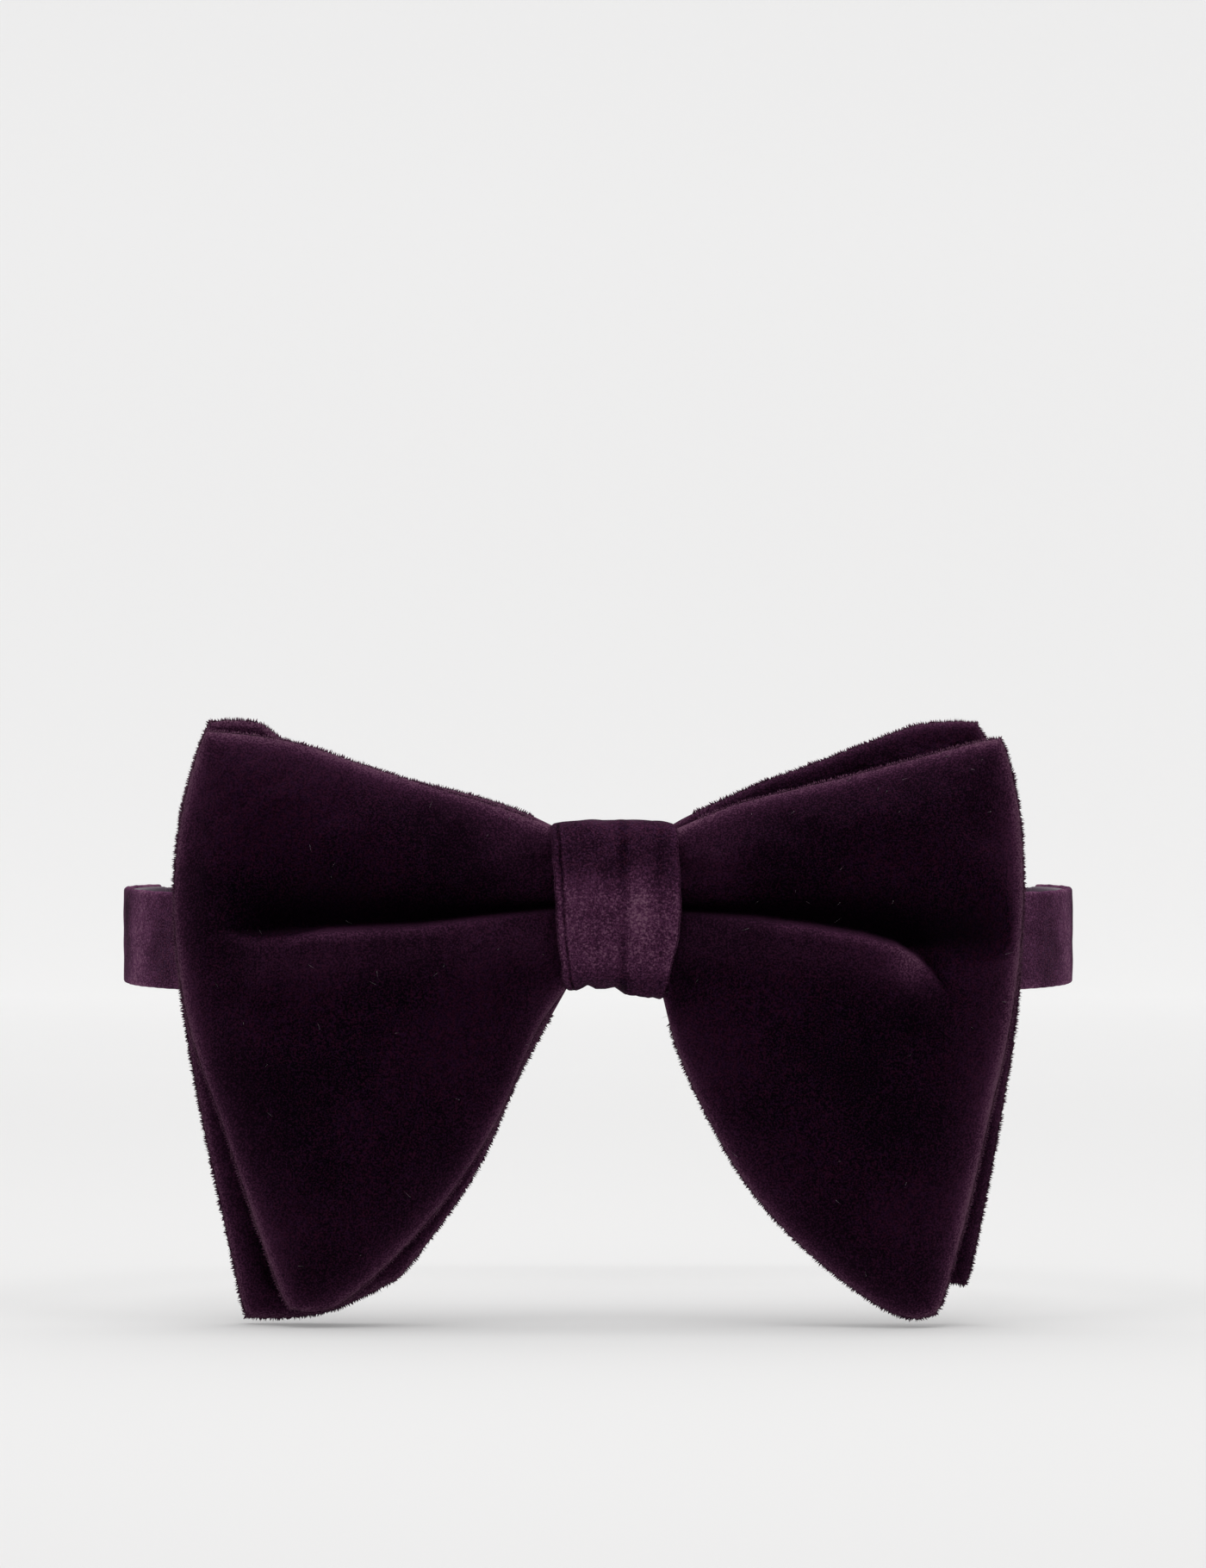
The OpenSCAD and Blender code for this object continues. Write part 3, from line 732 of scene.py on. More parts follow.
def settled(grid, held, spare, push, cap, every=3):
    """How far each point of a grid moves when cloth that is larger by the share spare settles
    under a pressure push. held is 1 where a point stays and 0 where it is free."""
    rows, cols = (np.unique(np.linspace(0, n - 1, n // every).astype(int))
                  for n in grid.shape[:2])
    coarse = grid[np.ix_(rows, cols)]
    trial = make_piece("cloth_trial", coarse * SOLVER_SCALE, grid_faces(*coarse.shape[:2]))
    group = trial.vertex_groups.new(name="held")
    levels = 8
    level = np.round(held[np.ix_(rows, cols)].ravel() * levels).astype(int)
    for step in range(1, levels + 1):
        group.add(np.flatnonzero(level == step).tolist(), step / levels, "REPLACE")
    outward = trial.data.polygons[len(trial.data.polygons) // 2].normal.y
    cloth = trial.modifiers.new("cloth", "CLOTH").settings
    cloth.quality = 5
    cloth.mass = 0.3
    cloth.tension_stiffness = cloth.compression_stiffness = 15
    cloth.shear_stiffness = 5
    cloth.bending_stiffness = 1.0
    cloth.vertex_group_mass = "held"
    cloth.shrink_min = -spare
    cloth.use_pressure = True
    cloth.uniform_pressure_force = push * np.sign(outward * (grid[0, 0, 1] - grid[..., 1].mean()))
    cloth.effector_weights.gravity = 0
    for frame_number in range(1, 21):
        bpy.context.scene.frame_set(frame_number)
    after = np.empty(coarse.size, np.float32)
    solved = trial.evaluated_get(bpy.context.evaluated_depsgraph_get())
    solved.data.vertices.foreach_get("co", after)
    shift = after.reshape(coarse.shape) / (MM * SOLVER_SCALE) - coarse
    size = np.linalg.norm(shift, axis=-1, keepdims=True)
    print("  cloth moved, mm: most", round(float(size.max()), 2), "mean",
          round(float(size.mean()), 2))
    shift = shift * np.minimum(1, cap / np.maximum(size, 1e-9))
    bpy.data.objects.remove(trial)
    bpy.context.scene.frame_set(1)
    over_rows, over_cols = (
        np.stack([np.interp(np.arange(n), at, line) for line in np.eye(len(at))], axis=1)
        for n, at in ((grid.shape[0], rows), (grid.shape[1], cols)))
    return np.einsum("ri,ijk,cj->rck", over_rows, shift, over_cols)


# %% [markdown]
# ## The eight panels
# Each panel is a grid with u running from the knot outwards and v from the lower edge up. Rows
# crowd at the rims and at the lip, where the surface turns fastest. The velvet's "edge" value
# is painted light, worked out from the same distances as the shape: painted sheen on rims,
# painted highlights on the lip's rounded top and near the knot, and painted shade, below
# nought, in the mouth of the fold.


# %% Wing panels
def spaced(count, crowd):
    """count values from 0 to 1, set closer together at both ends."""
    t = np.linspace(0, 1, count)
    return (1 - crowd) * t + crowd * (1 - np.cos(math.pi * t)) / 2


def rows_for(wing, us, lower, upper):
    """v for each row and column. On a pleated wing one row follows the lip, and rows are
    close together there and at the rims; on a plain wing they are the same in every
    column."""
    crowd = 0.82
    if wing not in LIPS:
        return np.repeat(spaced(lower + upper + 1, crowd)[:, None], len(us), axis=1)
    tries = np.linspace(0, 1, 400)
    u, v = np.meshgrid(us, tries)
    p = wing_plan(wing, u, v)
    gap = p[..., 1] - lip_height(wing, p[..., 0])
    fold = tries[np.argmax(gap > 0, axis=0)]
    smoothed = np.convolve(np.pad(fold, 4, mode="edge"), np.ones(9) / 9, mode="valid")
    low = spaced(lower + 1, crowd)[:, None] * smoothed[None, :]
    high = smoothed[None, :] + spaced(upper + 1, crowd)[:, None] * (1 - smoothed[None, :])
    return np.concatenate([low, high[1:]])


def panel(wing, side, material, cols, lower, upper):
    """One panel of a wing, as a closed sheet of velvet: its outer surface from the depth
    function, and its inner surface PANEL behind it along the normal, near the seam drawn
    together."""
    us = np.linspace(0, 1, cols)
    us = 0.72 * us + 0.28 * np.sin(math.pi / 2 * us)
    v = rows_for(wing, us, lower, upper)
    u = np.repeat(us[None, :], len(v), axis=0)
    plan = wing_plan(wing, u, v)
    x, z = plan[..., 0], plan[..., 1]
    d = to_edges(wing, u, v)
    face = side == "face"
    pleated = face and wing in LIPS
    depth = face_depth(wing, u, plan, d) if face else back_depth(wing, plan, d)
    direction = -1 if face else 1
    outer = np.stack([x, MIDDLE[wing] + direction * (depth + SEAM), z], axis=-1)
    held = np.maximum(1 - smooth(d, 1.2, 5.0), 1 - smooth(u, 0.02, 0.07))
    if pleated:
        s = z - lip_height(wing, x)
        fade = 1 - smooth(u, *LIP_END[wing])
        # the mouth of the fold: painted shade in the colour below, and cloth held still here
        dark = fold_shade_mask(wing, x, z)
        held = np.maximum(np.maximum(held, hump(s, 0, 2.5) * fade), dark)
    outer = outer + settled(outer, held, SPARE, PRESSURE, MOST) * (1 - held)[..., None]
    depth = np.maximum((outer[..., 1] - MIDDLE[wing]) * direction - SEAM, depth * 0.5)
    outer[..., 1] = MIDDLE[wing] + direction * (depth + SEAM)
    normal = surface_normals(outer)
    if normal[len(v) // 2, cols // 2, 1] * direction < 0:
        normal = -normal
    wall = np.minimum(PANEL, np.maximum(depth - 0.45, 0) * 0.9 + 0.02)
    under_rim = MIDDLE[wing] + direction * (SEAM + np.maximum(depth - wall, 0) * 0.5)
    inner = np.where((d < RIM)[..., None], np.stack([x, under_rim, z], axis=-1),
                     outer - normal * wall[..., None])
    quads = sheet_quads(*u.shape)
    if ("left" in wing) == face:
        quads = quads[:, ::-1]
    points = np.concatenate([outer.reshape(-1, 3), inner.reshape(-1, 3)])
    uv = np.tile(plan.reshape(-1, 2) * MM, (2, 1))
    # painted light: painted sheen along every rim and a painted highlight on the upper part near
    # the knot, all halved on the rear right wing, and a painted highlight on the front right
    # wing's outer rim
    painted_light = 0.70 * np.exp(-d / 1.0) + 0.17 * np.exp(-d / 4.5)
    painted_light = painted_light + 0.12 * hump(u, 0.13, 0.14) * smooth(v, 0.55, 0.95)
    painted_light = painted_light * (0.5 if wing == "rear_right" else 1.0)
    if wing == "front_right":
        painted_light = painted_light + 0.3 * np.exp(-d / 0.9) * smooth(u, 0.85, 1.0)
    if pleated:
        # painted highlights on the lip's rounded top and in a soft band below it, and on the
        # right lip's turn
        painted_light = painted_light + 0.26 * hump(s, -1.4, 1.1) * fade * smooth(u, 0.05, 0.5)
        painted_light = painted_light + 0.11 * hump(s, -4.5, 4.5) * fade
        if wing == "front_right":
            turned = np.hypot(x - LIP_HIGHLIGHT_AT[0], (z - LIP_HIGHLIGHT_AT[1]) * 0.8)
            painted_light = painted_light + 0.36 * hump(turned, 0, 3.0) * smooth(-s, 0, 1.0)
        # painted shade: the mouth of the fold darkened towards black
        painted_light = painted_light - 0.85 * dark
    piece = make_piece(f"{wing}_{side}_velvet", points, quads, uv, material,
                       np.tile(np.clip(painted_light, -1, 1).ravel(), 2))
    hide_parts(f"{wing}_{side}")
    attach(piece, "bow")
    return piece


panels = {}
for wing in OUTLINES:
    panels[wing, "face"] = panel(wing, "face", wing_velvet, 130, 105, 75)
    panels[wing, "back"] = panel(wing, "back", back_velvet, 90, 60, 50)
    print(wing, [len(panels[wing, s].data.polygons) for s in ("face", "back")])

# %% [markdown]
# ## The pile at the rims
# Where a velvet pouch turns over its rim, the pile stands straight out and the outline looks
# furred. A soft outline can't come from a smooth mesh, so single tufts are set along each rim:
# tiny three-sided spikes, a few faces each, leaning a little at random from a fixed seed.


# %% Tufts
def tufts(name, roots, directions, lengths, widths, material, seed, edge):
    """One closed spike for each root: three base points round the root, square to its
    direction, and a tip at root + direction * length."""
    rng = np.random.default_rng(seed)
    n = len(roots)
    axis = directions / np.linalg.norm(directions, axis=1, keepdims=True)
    helper = rng.normal(size=(n, 3))
    side = np.cross(axis, helper)
    side /= np.linalg.norm(side, axis=1, keepdims=True)
    other = np.cross(axis, side)
    angles = np.array([0, 2, 4]) * math.pi / 3
    ring = (side[:, None] * np.cos(angles)[None, :, None]
            + other[:, None] * np.sin(angles)[None, :, None]) * widths[:, None, None]
    base = roots[:, None] + ring
    tip = (roots + axis * lengths[:, None])[:, None]
    points = np.concatenate([base, tip], axis=1).reshape(-1, 3)
    one = np.array([[0, 1, 3], [1, 2, 3], [2, 0, 3], [2, 1, 0]])
    faces = (np.arange(n)[:, None, None] * 4 + one[None]).reshape(-1, 3)
    return make_piece(name, points, faces, points[:, [0, 2]] * MM, material,
                      np.full(len(points), edge))


def rim_line(wing, count):
    """Points along a wing's free edges, evenly spaced, with the outward direction at each."""
    t = np.linspace(0, 1, 300)
    zero, one = np.zeros_like(t), np.ones_like(t)
    loop = np.concatenate([wing_plan(wing, t, zero), wing_plan(wing, one, t)[1:],
                           wing_plan(wing, t[::-1], one)[1:]])
    run = run_length(loop)
    line = points_at(loop, run, np.linspace(run[-1] * 0.03, run[-1] * 0.97, count))
    ahead = np.gradient(line, axis=0)
    out = np.stack([ahead[:, 1], -ahead[:, 0]], axis=-1)
    out /= np.linalg.norm(out, axis=1, keepdims=True)
    centre = line.mean(axis=0)
    if ((line - centre) * out).sum() < 0:
        out = -out
    return line, out


def clumps(rng, count, each, amount):
    """A random lean for each tuft, shared by every few neighbours, as pile clumps."""
    return np.repeat(rng.normal(0, amount, (count // each + 1, 3)), each, axis=0)[:count]


def rim_pile(wing, kind, count, widest, shortest, spread, lean):
    """The furred rim of one wing. Tufts start on the rim's round profile, turned by up to
    spread from its outermost line, and point away from its centre, in small clumps that
    share their lean."""
    rng = np.random.default_rng(11 + len(wing) + ord(wing[0]) + count)
    line, out = rim_line(wing, count)
    turn = rng.uniform(-spread, spread, count)
    clump = clumps(rng, count, 6, 0.35)
    radius = 0.93 * RIM
    along = (np.cos(turn) * radius - RIM)[:, None] * out
    y = MIDDLE[wing] + np.sin(turn) * radius
    roots = np.stack([line[:, 0] + along[:, 0], y, line[:, 1] + along[:, 1]], axis=-1)
    away = np.stack([out[:, 0] * np.cos(turn), np.sin(turn), out[:, 1] * np.cos(turn)], axis=-1)
    away = away + lean * (clump + rng.normal(0, 0.25, away.shape))
    length = shortest + 0.32 * rng.random(count) + 0.22 * np.repeat(
        rng.random(count // 5 + 1), 5)[:count]
    # the tufts' pale colour, edge value 0.8, is painted sheen
    piece = tufts(f"{wing}_rim_{kind}", roots, away, length,
                  widest * (0.5 + 0.5 * rng.random(count)), wing_velvet, 5, 0.8)
    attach(piece, "bow")
    return piece


for wing in OUTLINES:
    print(rim_pile(wing, "pile", 3600, 0.10, 0.42, 1.25, 1.0).name,
          rim_pile(wing, "rows", 620, 0.34, 0.36, 0.35, 0.8).name)

# %% [markdown]
# ## Lint
# Dark velvet catches every loose fibre. A few pale ones lie on the two front faces. They show
# as small specks and break up the black.


# %% Lint
def lint(count=34):
    """A few loose pale fibres that cling to the front of the velvet: thin spikes lying on
    the front wings' faces at random places and turns."""
    rng = np.random.default_rng(404)
    roots, away = [], []
    for wing in LIPS:
        piece = panels[wing, "face"]
        total = len(piece.data.vertices) // 2
        spots = np.empty(2 * total * 3, np.float32)
        piece.data.vertices.foreach_get("co", spots)
        outer = spots.reshape(-1, 3)[:total] / MM
        chosen = outer[rng.integers(0, total, count)]
        turn = rng.uniform(0, 2 * math.pi, count)
        roots.append(chosen - np.array([0, 0.12, 0]))
        away.append(np.stack([np.cos(turn), np.full(count, -0.05), np.sin(turn)], axis=-1))
    length = rng.uniform(0.5, 1.7, 2 * count)
    piece = tufts("lint", np.concatenate(roots), np.concatenate(away), length,
                  np.full(2 * count, 0.035), lint_fibre, 9, 0.0)
    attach(piece, "bow")
    return piece


lint_fibre = sewing_thread("lint_fibre", "sewing_thread", (0.13, 0.11, 0.12))
print(lint().name)

# %% [markdown]
# ## The knot
# A strip of velvet is folded along both long edges, passed round the waist of the bow and the
# neck band, and sewn behind. Its front is a little crowned. Pulled tight from behind, it
# creases down its length, and its lower edge bunches into small lobes. The surface is a grid:
# one way runs round the loop and the other across the strip.


# %% Knot wrap
def round_box(angle, half, squareness):
    """y and z of a box with round corners (a superellipse) at each angle: the cosine and the
    sine, raised to a small power that pushes them out to the box."""
    c, s = np.cos(angle), np.sin(angle)
    power = 2 / squareness
    return (half[1] * np.sign(c) * np.abs(c) ** power, half[2] * np.sign(s) * np.abs(s) ** power)


def knot_loop(count):
    """A closed path round the knot in y and z: a rounded box with its front crowned, evenly
    spaced by length."""
    crown = 1.5
    angle = np.linspace(0, 2 * math.pi, 2000)
    half = (knot_high - knot_low) / 2
    centre = (knot_high + knot_low) / 2
    y, z = round_box(angle, half, 6.5)
    y, z = centre[1] - y, centre[2] + z
    y = y - crown * (1 - ((z - centre[2]) / half[2]) ** 2) * (np.cos(angle) > 0)
    run = np.concatenate([[0], np.cumsum(np.hypot(np.diff(y), np.diff(z)))])
    at = np.linspace(0, run[-1], count + 1)[:-1]
    return np.interp(at, run, y), np.interp(at, run, z), run[-1]


def knot_sides(z):
    """x of the strip's left and right folded edges at each height."""
    heights = [-10, 1, 7, 20]
    left = np.interp(z, heights, [-5.2, -6.6, -6.9, -7.8])
    right = np.interp(z, heights, [10.5, 13.2, 13.5, 12.8])
    return left + 0.05 * np.sin(z * 1.3), right + 0.06 * np.sin(z * 1.1 + 2)


def knot_relief(x, y, z, left, right):
    """How far the velvet stands out from the loop: creases that deepen downwards, the
    doubled left edge, a bowed top, and a lower edge that bunches into lobes."""
    front = smooth(-y, 52, 57)
    down = front * (0.35 + 0.65 * smooth(-z, -16, 2))
    relief = down * (-0.60 * hump(x, 4.2 + 0.03 * z, 0.7) + 0.45 * hump(x, 6.5, 1.3)
                     - 0.22 * hump(x, 10.2, 0.8) + 0.18 * hump(x, 11.7, 0.7)
                     - 0.20 * hump(x, -0.6, 0.9) + 0.18 * hump(x, -3.0, 1.2))
    relief = relief - 0.42 * front * hump(x - left, 1.35, 0.18)
    seam = smooth(y, -45, -42) * smooth(z, -6.5, -5) * (1 - smooth(z, 15, 16.5))
    relief = relief - 0.38 * seam * hump(x, 3, 0.75) + 0.12 * seam * hump(np.abs(x - 3), 1.6, 0.5)
    relief = relief + 0.10 * front * ripple(x, z, 3, 5)
    across = np.abs(2 * (x - left) / (right - left) - 1)
    relief = relief + smooth(z, 15, 19) * (0.12 * ripple(x, y, 8, 6) - 0.8 * across ** 4)
    lobe_x = [-5.2, -3.6, -1.7, -0.4, 1.2, 2.7, 4.4, 5.4, 6.2, 8.2, 8.9, 10.3]
    lobe = [-1.5, -1.6, -2.6, -1.8, -1.8, -2.1, -0.9, -1.0, -1.15, -0.35, -0.45, 0.0]
    return relief + smooth(-z, 5.0, 9.0) * np.interp(x, lobe_x, lobe)


def knot_grid(across):
    """The wrap's outer surface as a grid, its outward directions, x distance to the nearer
    folded edge, and the length round it."""
    y, z, length = knot_loop(300)
    left, right = (side[:, None] for side in knot_sides(z))
    x = left + (right - left) * spaced(across, 0.55)[None, :]
    ys, zs = (np.repeat(a[:, None], across, axis=1) for a in (y, z))
    out = np.stack([0 * ys, np.roll(zs, -1, 0) - np.roll(zs, 1, 0),
                    np.roll(ys, 1, 0) - np.roll(ys, -1, 0)], axis=-1)
    out /= np.linalg.norm(out, axis=-1, keepdims=True)
    centre = (knot_low + knot_high) / 2
    if ((ys - centre[1]) * out[..., 1] + (zs - centre[2]) * out[..., 2]).sum() < 0:
        out = -out
    roll = 0.75
    to_side = np.minimum(x - left, right - x)
    round_in = roll * (1 - np.sqrt(1 - (1 - np.clip(to_side / roll, 0, 1)) ** 2))
    push = knot_relief(x, ys, zs, left, right) - round_in
    flat = np.stack([x, ys, zs], axis=-1)
    return flat + out * push[..., None], out, to_side, length


def wrapped(name, outer, inner, material, edge=None):
    """A closed band from two grids that each run round in their rows."""
    around, across = outer.shape[:2]
    one = grid_faces(across, around, wrap_cols=True)
    one = (one % around) * across + one // around
    ring = np.arange(around) * across
    inner_at = around * across
    faces = [one, one[:, ::-1] + inner_at]
    for column in (0, across - 1):
        a = ring + column
        faces.append(np.stack([a, np.roll(a, -1), np.roll(a, -1) + inner_at, a + inner_at], -1))
    points = np.concatenate([outer.reshape(-1, 3), inner.reshape(-1, 3)])
    values = np.zeros(around * across) if edge is None else edge.ravel()
    piece = make_piece(name, points, np.concatenate(faces), points[:, [0, 2]] * MM, material,
                       np.tile(values, 2))
    turn_outwards(piece)
    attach(piece, "bow")
    return piece


def make_knot():
    """The velvet wrap, 0.8 mm thick, and its satin lining inside it."""
    outer, out, to_side, length = knot_grid(96)
    x, ys, zs = outer[..., 0], outer[..., 1], outer[..., 2]
    left = x[:, :1]
    front = smooth(-ys, 52, 57)
    # painted light and shade in the knot's colour: paler across its middle, darker at its top and
    # along its lowest edge, where it turns under (painted shade), a painted highlight right of
    # the front crease, painted shade in the creases and in the groove by the doubled left edge, a
    # painted highlight on the ridge beside it, and painted sheen along both folded edges
    pale = 0.12 + 0.34 * smooth(-zs, -13, -6) * (1 - 0.92 * smooth(-zs, 3.6, 6.8))
    pale = pale + 0.34 * hump(x, 6.8, 1.9) * hump(zs, 6.0, 5.5)
    pale = pale - 0.16 * hump(x, 4.1, 0.8) - 0.08 * hump(x, 10.1, 0.6)
    pale = pale + 0.10 * hump(x - left, 1.75, 0.25) + 0.25 * np.exp(-to_side / 0.4)
    pale = pale - 0.25 * hump(x - left, 1.3, 0.25)
    pale = np.clip(pale * front + 0.15 * (1 - front), 0, 1)
    wall = np.minimum(0.8, 0.45 + to_side * 0.5)[..., None]
    wrap = wrapped("knot_velvet", outer, outer - out * wall, knot_velvet, pale)
    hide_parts("knot_wrap")
    inside = outer[:, 7:-7:3]
    away = out[:, 7:-7:3]
    lining = wrapped("knot_lining_satin", inside - away * 0.85, inside - away * 1.25,
                     lining_satin)
    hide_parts("knot_lining")
    return wrap, outer


def knot_pile(outer, count=420):
    """Tufts along both folded edges of the knot's front, pointing sideways."""
    rng = np.random.default_rng(77)
    front = np.flatnonzero(outer[:, 0, 1] < -54)
    roots, away = [], []
    for column, side in ((2, -1), (-3, 1)):
        line = outer[front, column]
        line = line[np.argsort(line[:, 2])]
        at = np.linspace(0.02, 0.98, count) * (len(line) - 1)
        roots.append(points_at(line, np.arange(len(line)), at))
        clump = clumps(rng, count, 5, 0.3)
        away.append(np.array([side, -0.35, 0]) + clump + rng.normal(0, 0.2, (count, 3)))
    length = 0.22 + 0.30 * rng.random(2 * count)
    # the edge tufts carry a painted sheen, edge value 0.35
    piece = tufts("knot_edge_pile", np.concatenate(roots), np.concatenate(away), length,
                  0.05 + 0.04 * rng.random(2 * count), knot_velvet, 6, 0.35)
    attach(piece, "bow")
    return piece


knot, knot_outer = make_knot()
print("knot faces:", len(knot.data.polygons), "and", knot_pile(knot_outer).name)

# %% [markdown]
# ## The gathered waists
# Inside the knot each bow is drawn together by hand into a tight stack of pleats. Only a
# sliver shows at the knot's sides, but a bow that is taken apart has them.


# %% Waists
def waist(name, folds):
    """A short bar along x whose section in y and z is a rounded box with pleats: its radius
    swells and sinks folds times on the way round."""
    low, high = box_mm(name)
    low = low + np.array([0.25, 0.25, 1.9])
    high = high - 0.25
    centre, half = (low + high) / 2, (high - low) / 2
    angle = np.linspace(0, 2 * math.pi, 220, endpoint=False)
    pleats = 1 - 0.045 * (1 - np.abs(np.sin(folds * angle / 2)))
    y, z = (size * pleats for size in round_box(angle, half, 4.5))
    t = np.linspace(0, 1, 26)
    drawn = 1 - 0.08 * np.sin(math.pi * t) - 0.9 * (np.abs(2 * t - 1) > 0.999)
    x = low[0] + (high[0] - low[0]) * t
    points = np.stack([np.repeat(x[:, None], len(angle), 1), centre[1] + drawn[:, None] * y,
                       centre[2] + drawn[:, None] * z], axis=-1)
    quads = grid_faces(len(t), len(angle), wrap_cols=True)
    last = (len(t) - 1) * len(angle)
    ends = []
    for start, flip in ((0, True), (last, False)):
        i = np.arange(len(angle) // 2 - 1)
        cap = np.stack([i, i + 1, len(angle) - 2 - i, len(angle) - 1 - i], axis=-1) + start
        ends.append(cap[:, ::-1] if flip else cap)
    quads = np.concatenate([quads, *ends])
    uv = points[..., [0, 2]].reshape(-1, 2) * MM
    piece = make_piece(name + "_pleats", points, quads, uv, back_velvet,
                       np.full(points.shape[:2], 0.2))
    turn_outwards(piece)
    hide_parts(name)
    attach(piece, "bow")
    return piece


print([waist(name, folds).name for name, folds in (("front_waist", 22), ("rear_waist", 18))])

# %% [markdown]
# ## The neck band and its ribbon
# The band is a velvet strip with a satin strip behind it, and it turns into a narrow ribbed
# ribbon behind the neck. Every strip is one thing: a flat section with round edges, carried
# along a path seen from above. The paths follow the CAD's neck loop: two half circles joined
# by straight stretches.

# %% Neck loop
band_low, band_high = box_mm("neck_band")
OUT_R = -band_low[1]
BAND_T = 2.0
SIDE_R = OUT_R - BAND_T / 2
STRAIGHT = band_high[0] - OUT_R
ring_low, ring_high = box_mm("eye_ring")
WIRE = (ring_high[1] - ring_low[1]) / 2
BAR_Y = (ring_low[1] + ring_high[1]) / 2
EYE_X = ring_low[0] + WIRE
run_low, run_high = box_mm("ribbon_run")
return_low, return_high = box_mm("ribbon_return")
HOOK_X = run_low[0]
RIBBON_T = run_high[1] - run_low[1]
LOOP_R = (run_low[1] + run_high[1]) / 2 - BAR_Y
RETURN_Y = (return_low[1] + return_high[1]) / 2
SLIDER_X = return_high[0]
SLIDER_R = box_mm("slider_loop")[1][0] - SLIDER_X - RIBBON_T / 2
SLIDER_BAR_Y = RETURN_Y - SLIDER_R
END_ANGLE = math.degrees(math.asin(box_mm("right_band_end")[1][1] / OUT_R))
print("loop radius", round(SIDE_R, 2), "straight half", round(STRAIGHT, 2), "end angle",
      round(END_ANGLE, 1))


# %% [markdown]
# ## Strips along a path
# A path is stretches of points joined up and spaced evenly. A strip carries its section along
# it, square to the path at every step, so one function makes band, lining and ribbon.


# %% Strips along a path
def arc(centre, radius, start, end, count=60):
    """Points on a circle between two angles in degrees."""
    a = np.radians(np.linspace(start, end, count))
    return np.stack([centre[0] + radius * np.cos(a), centre[1] + radius * np.sin(a)], axis=-1)


def even_path(pieces, step, soften=0):
    """Joins stretches of points into one path with even steps, its corners softened by a
    moving average over soften steps."""
    p = np.concatenate([np.asarray(q, float) for q in pieces])
    keep = np.concatenate([[True], np.linalg.norm(np.diff(p, axis=0), axis=1) > 1e-6])
    p = p[keep]
    run = run_length(p)
    p = points_at(p, run, np.linspace(0, run[-1], int(run[-1] / step) + 1))
    if soften:
        window = np.ones(2 * soften + 1) / (2 * soften + 1)
        padded = np.pad(p, ((soften, soften), (0, 0)), mode="reflect", reflect_type="odd")
        p = np.stack([np.convolve(padded[:, k], window, mode="valid") for k in (0, 1)], -1)
    return p, run[-1]


def strip(name, path, height, thickness, material, relief=None, edge=None, sag=0.0, drawn=0.0):
    """A strip that stands on edge along a path in x and y. Its section is a flat loop with
    half-round edges, height tall and thickness thick. relief(s, z) moves the surface out on
    both sides, with s the length along the path and z the height on the strip. Its middle
    hangs sag lower than its ends, and its first 7 mm are drawn together by the share drawn.
    Both ends are closed."""
    columns = 40
    ahead = np.gradient(path, axis=0)
    ahead /= np.linalg.norm(ahead, axis=1, keepdims=True)
    normal = np.stack([-ahead[:, 1], ahead[:, 0]], axis=-1)
    s = run_length(path)
    r = thickness / 2
    flat = np.linspace(-(height / 2 - r), height / 2 - r, columns)
    bend = np.radians(np.linspace(0, 180, 9))[1:-1]
    offset = np.concatenate([np.full(columns, r), r * np.cos(bend), np.full(columns, -r),
                             -r * np.cos(bend)])
    z = np.concatenate([flat, flat[-1] + r * np.sin(bend), flat[::-1],
                        flat[0] - r * np.sin(bend)])
    n, m = len(path), len(offset)
    offsets = np.repeat(offset[None, :], n, axis=0)
    zs = np.repeat(z[None, :], n, axis=0)
    along = np.repeat(s[:, None], m, axis=1)
    if relief is not None:
        side = np.clip(offsets / r, -1, 1)
        moved = relief(along, zs)
        offsets = offsets + side * moved
        zs = zs + np.sign(zs) * moved * np.sqrt(1 - side ** 2)
    lowered = zs * (1 - drawn * (1 - smooth(along, 7, 15)))
    lowered = lowered - sag * np.sin(math.pi * along / s[-1]) ** 2
    points = np.stack([path[:, 0:1] + normal[:, 0:1] * offsets,
                       path[:, 1:2] + normal[:, 1:2] * offsets, lowered], axis=-1)
    quads = [grid_faces(n, m, wrap_cols=True)]
    half = m // 2
    low_edge = m - len(bend) // 2
    i = np.arange(half - 1)
    for start in (0, (n - 1) * m):
        a, b = (low_edge + i) % m, (low_edge + i + 1) % m
        c, d = (low_edge - i - 2) % m, (low_edge - i - 1) % m
        quads.append(np.stack([a, b, c, d], axis=-1) + start)
    uv = np.stack([along, zs], axis=-1).reshape(-1, 2) * MM
    values = np.zeros((n, m)) if edge is None else edge(along, zs)
    piece = make_piece(name, points, np.concatenate(quads), uv, material, values)
    turn_outwards(piece)
    return piece


# %% [markdown]
# ## The velvet band and its lining
# On each side a velvet strip and the satin behind it run from the knot round the neck. They
# start on the bow and end on the strap that opens.

# %% Velvet band and satin lining
VELVET_T = 1.15
LINING_T = 0.8
BAND_H = band_high[2] - band_low[2]
LINING_H = box_mm("neck_band_lining")[1][2] * 2
split_x = (knot_low[0] + knot_high[0]) / 2


def band_path(side, radius, end_angle):
    """From under the knot, along the straight front and round one side of the neck."""
    centre = (side * STRAIGHT, 0)
    start, end = (-90, end_angle) if side > 0 else (270, 180 - end_angle)
    return even_path([[(split_x, -radius)], arc(centre, radius, start, end)], 0.42)


def pile_relief(amount, seed):
    """Small uneven swellings of the velvet, the same for each call with that seed."""
    return lambda s, z: amount * ripple(s, z, seed, 4.5)


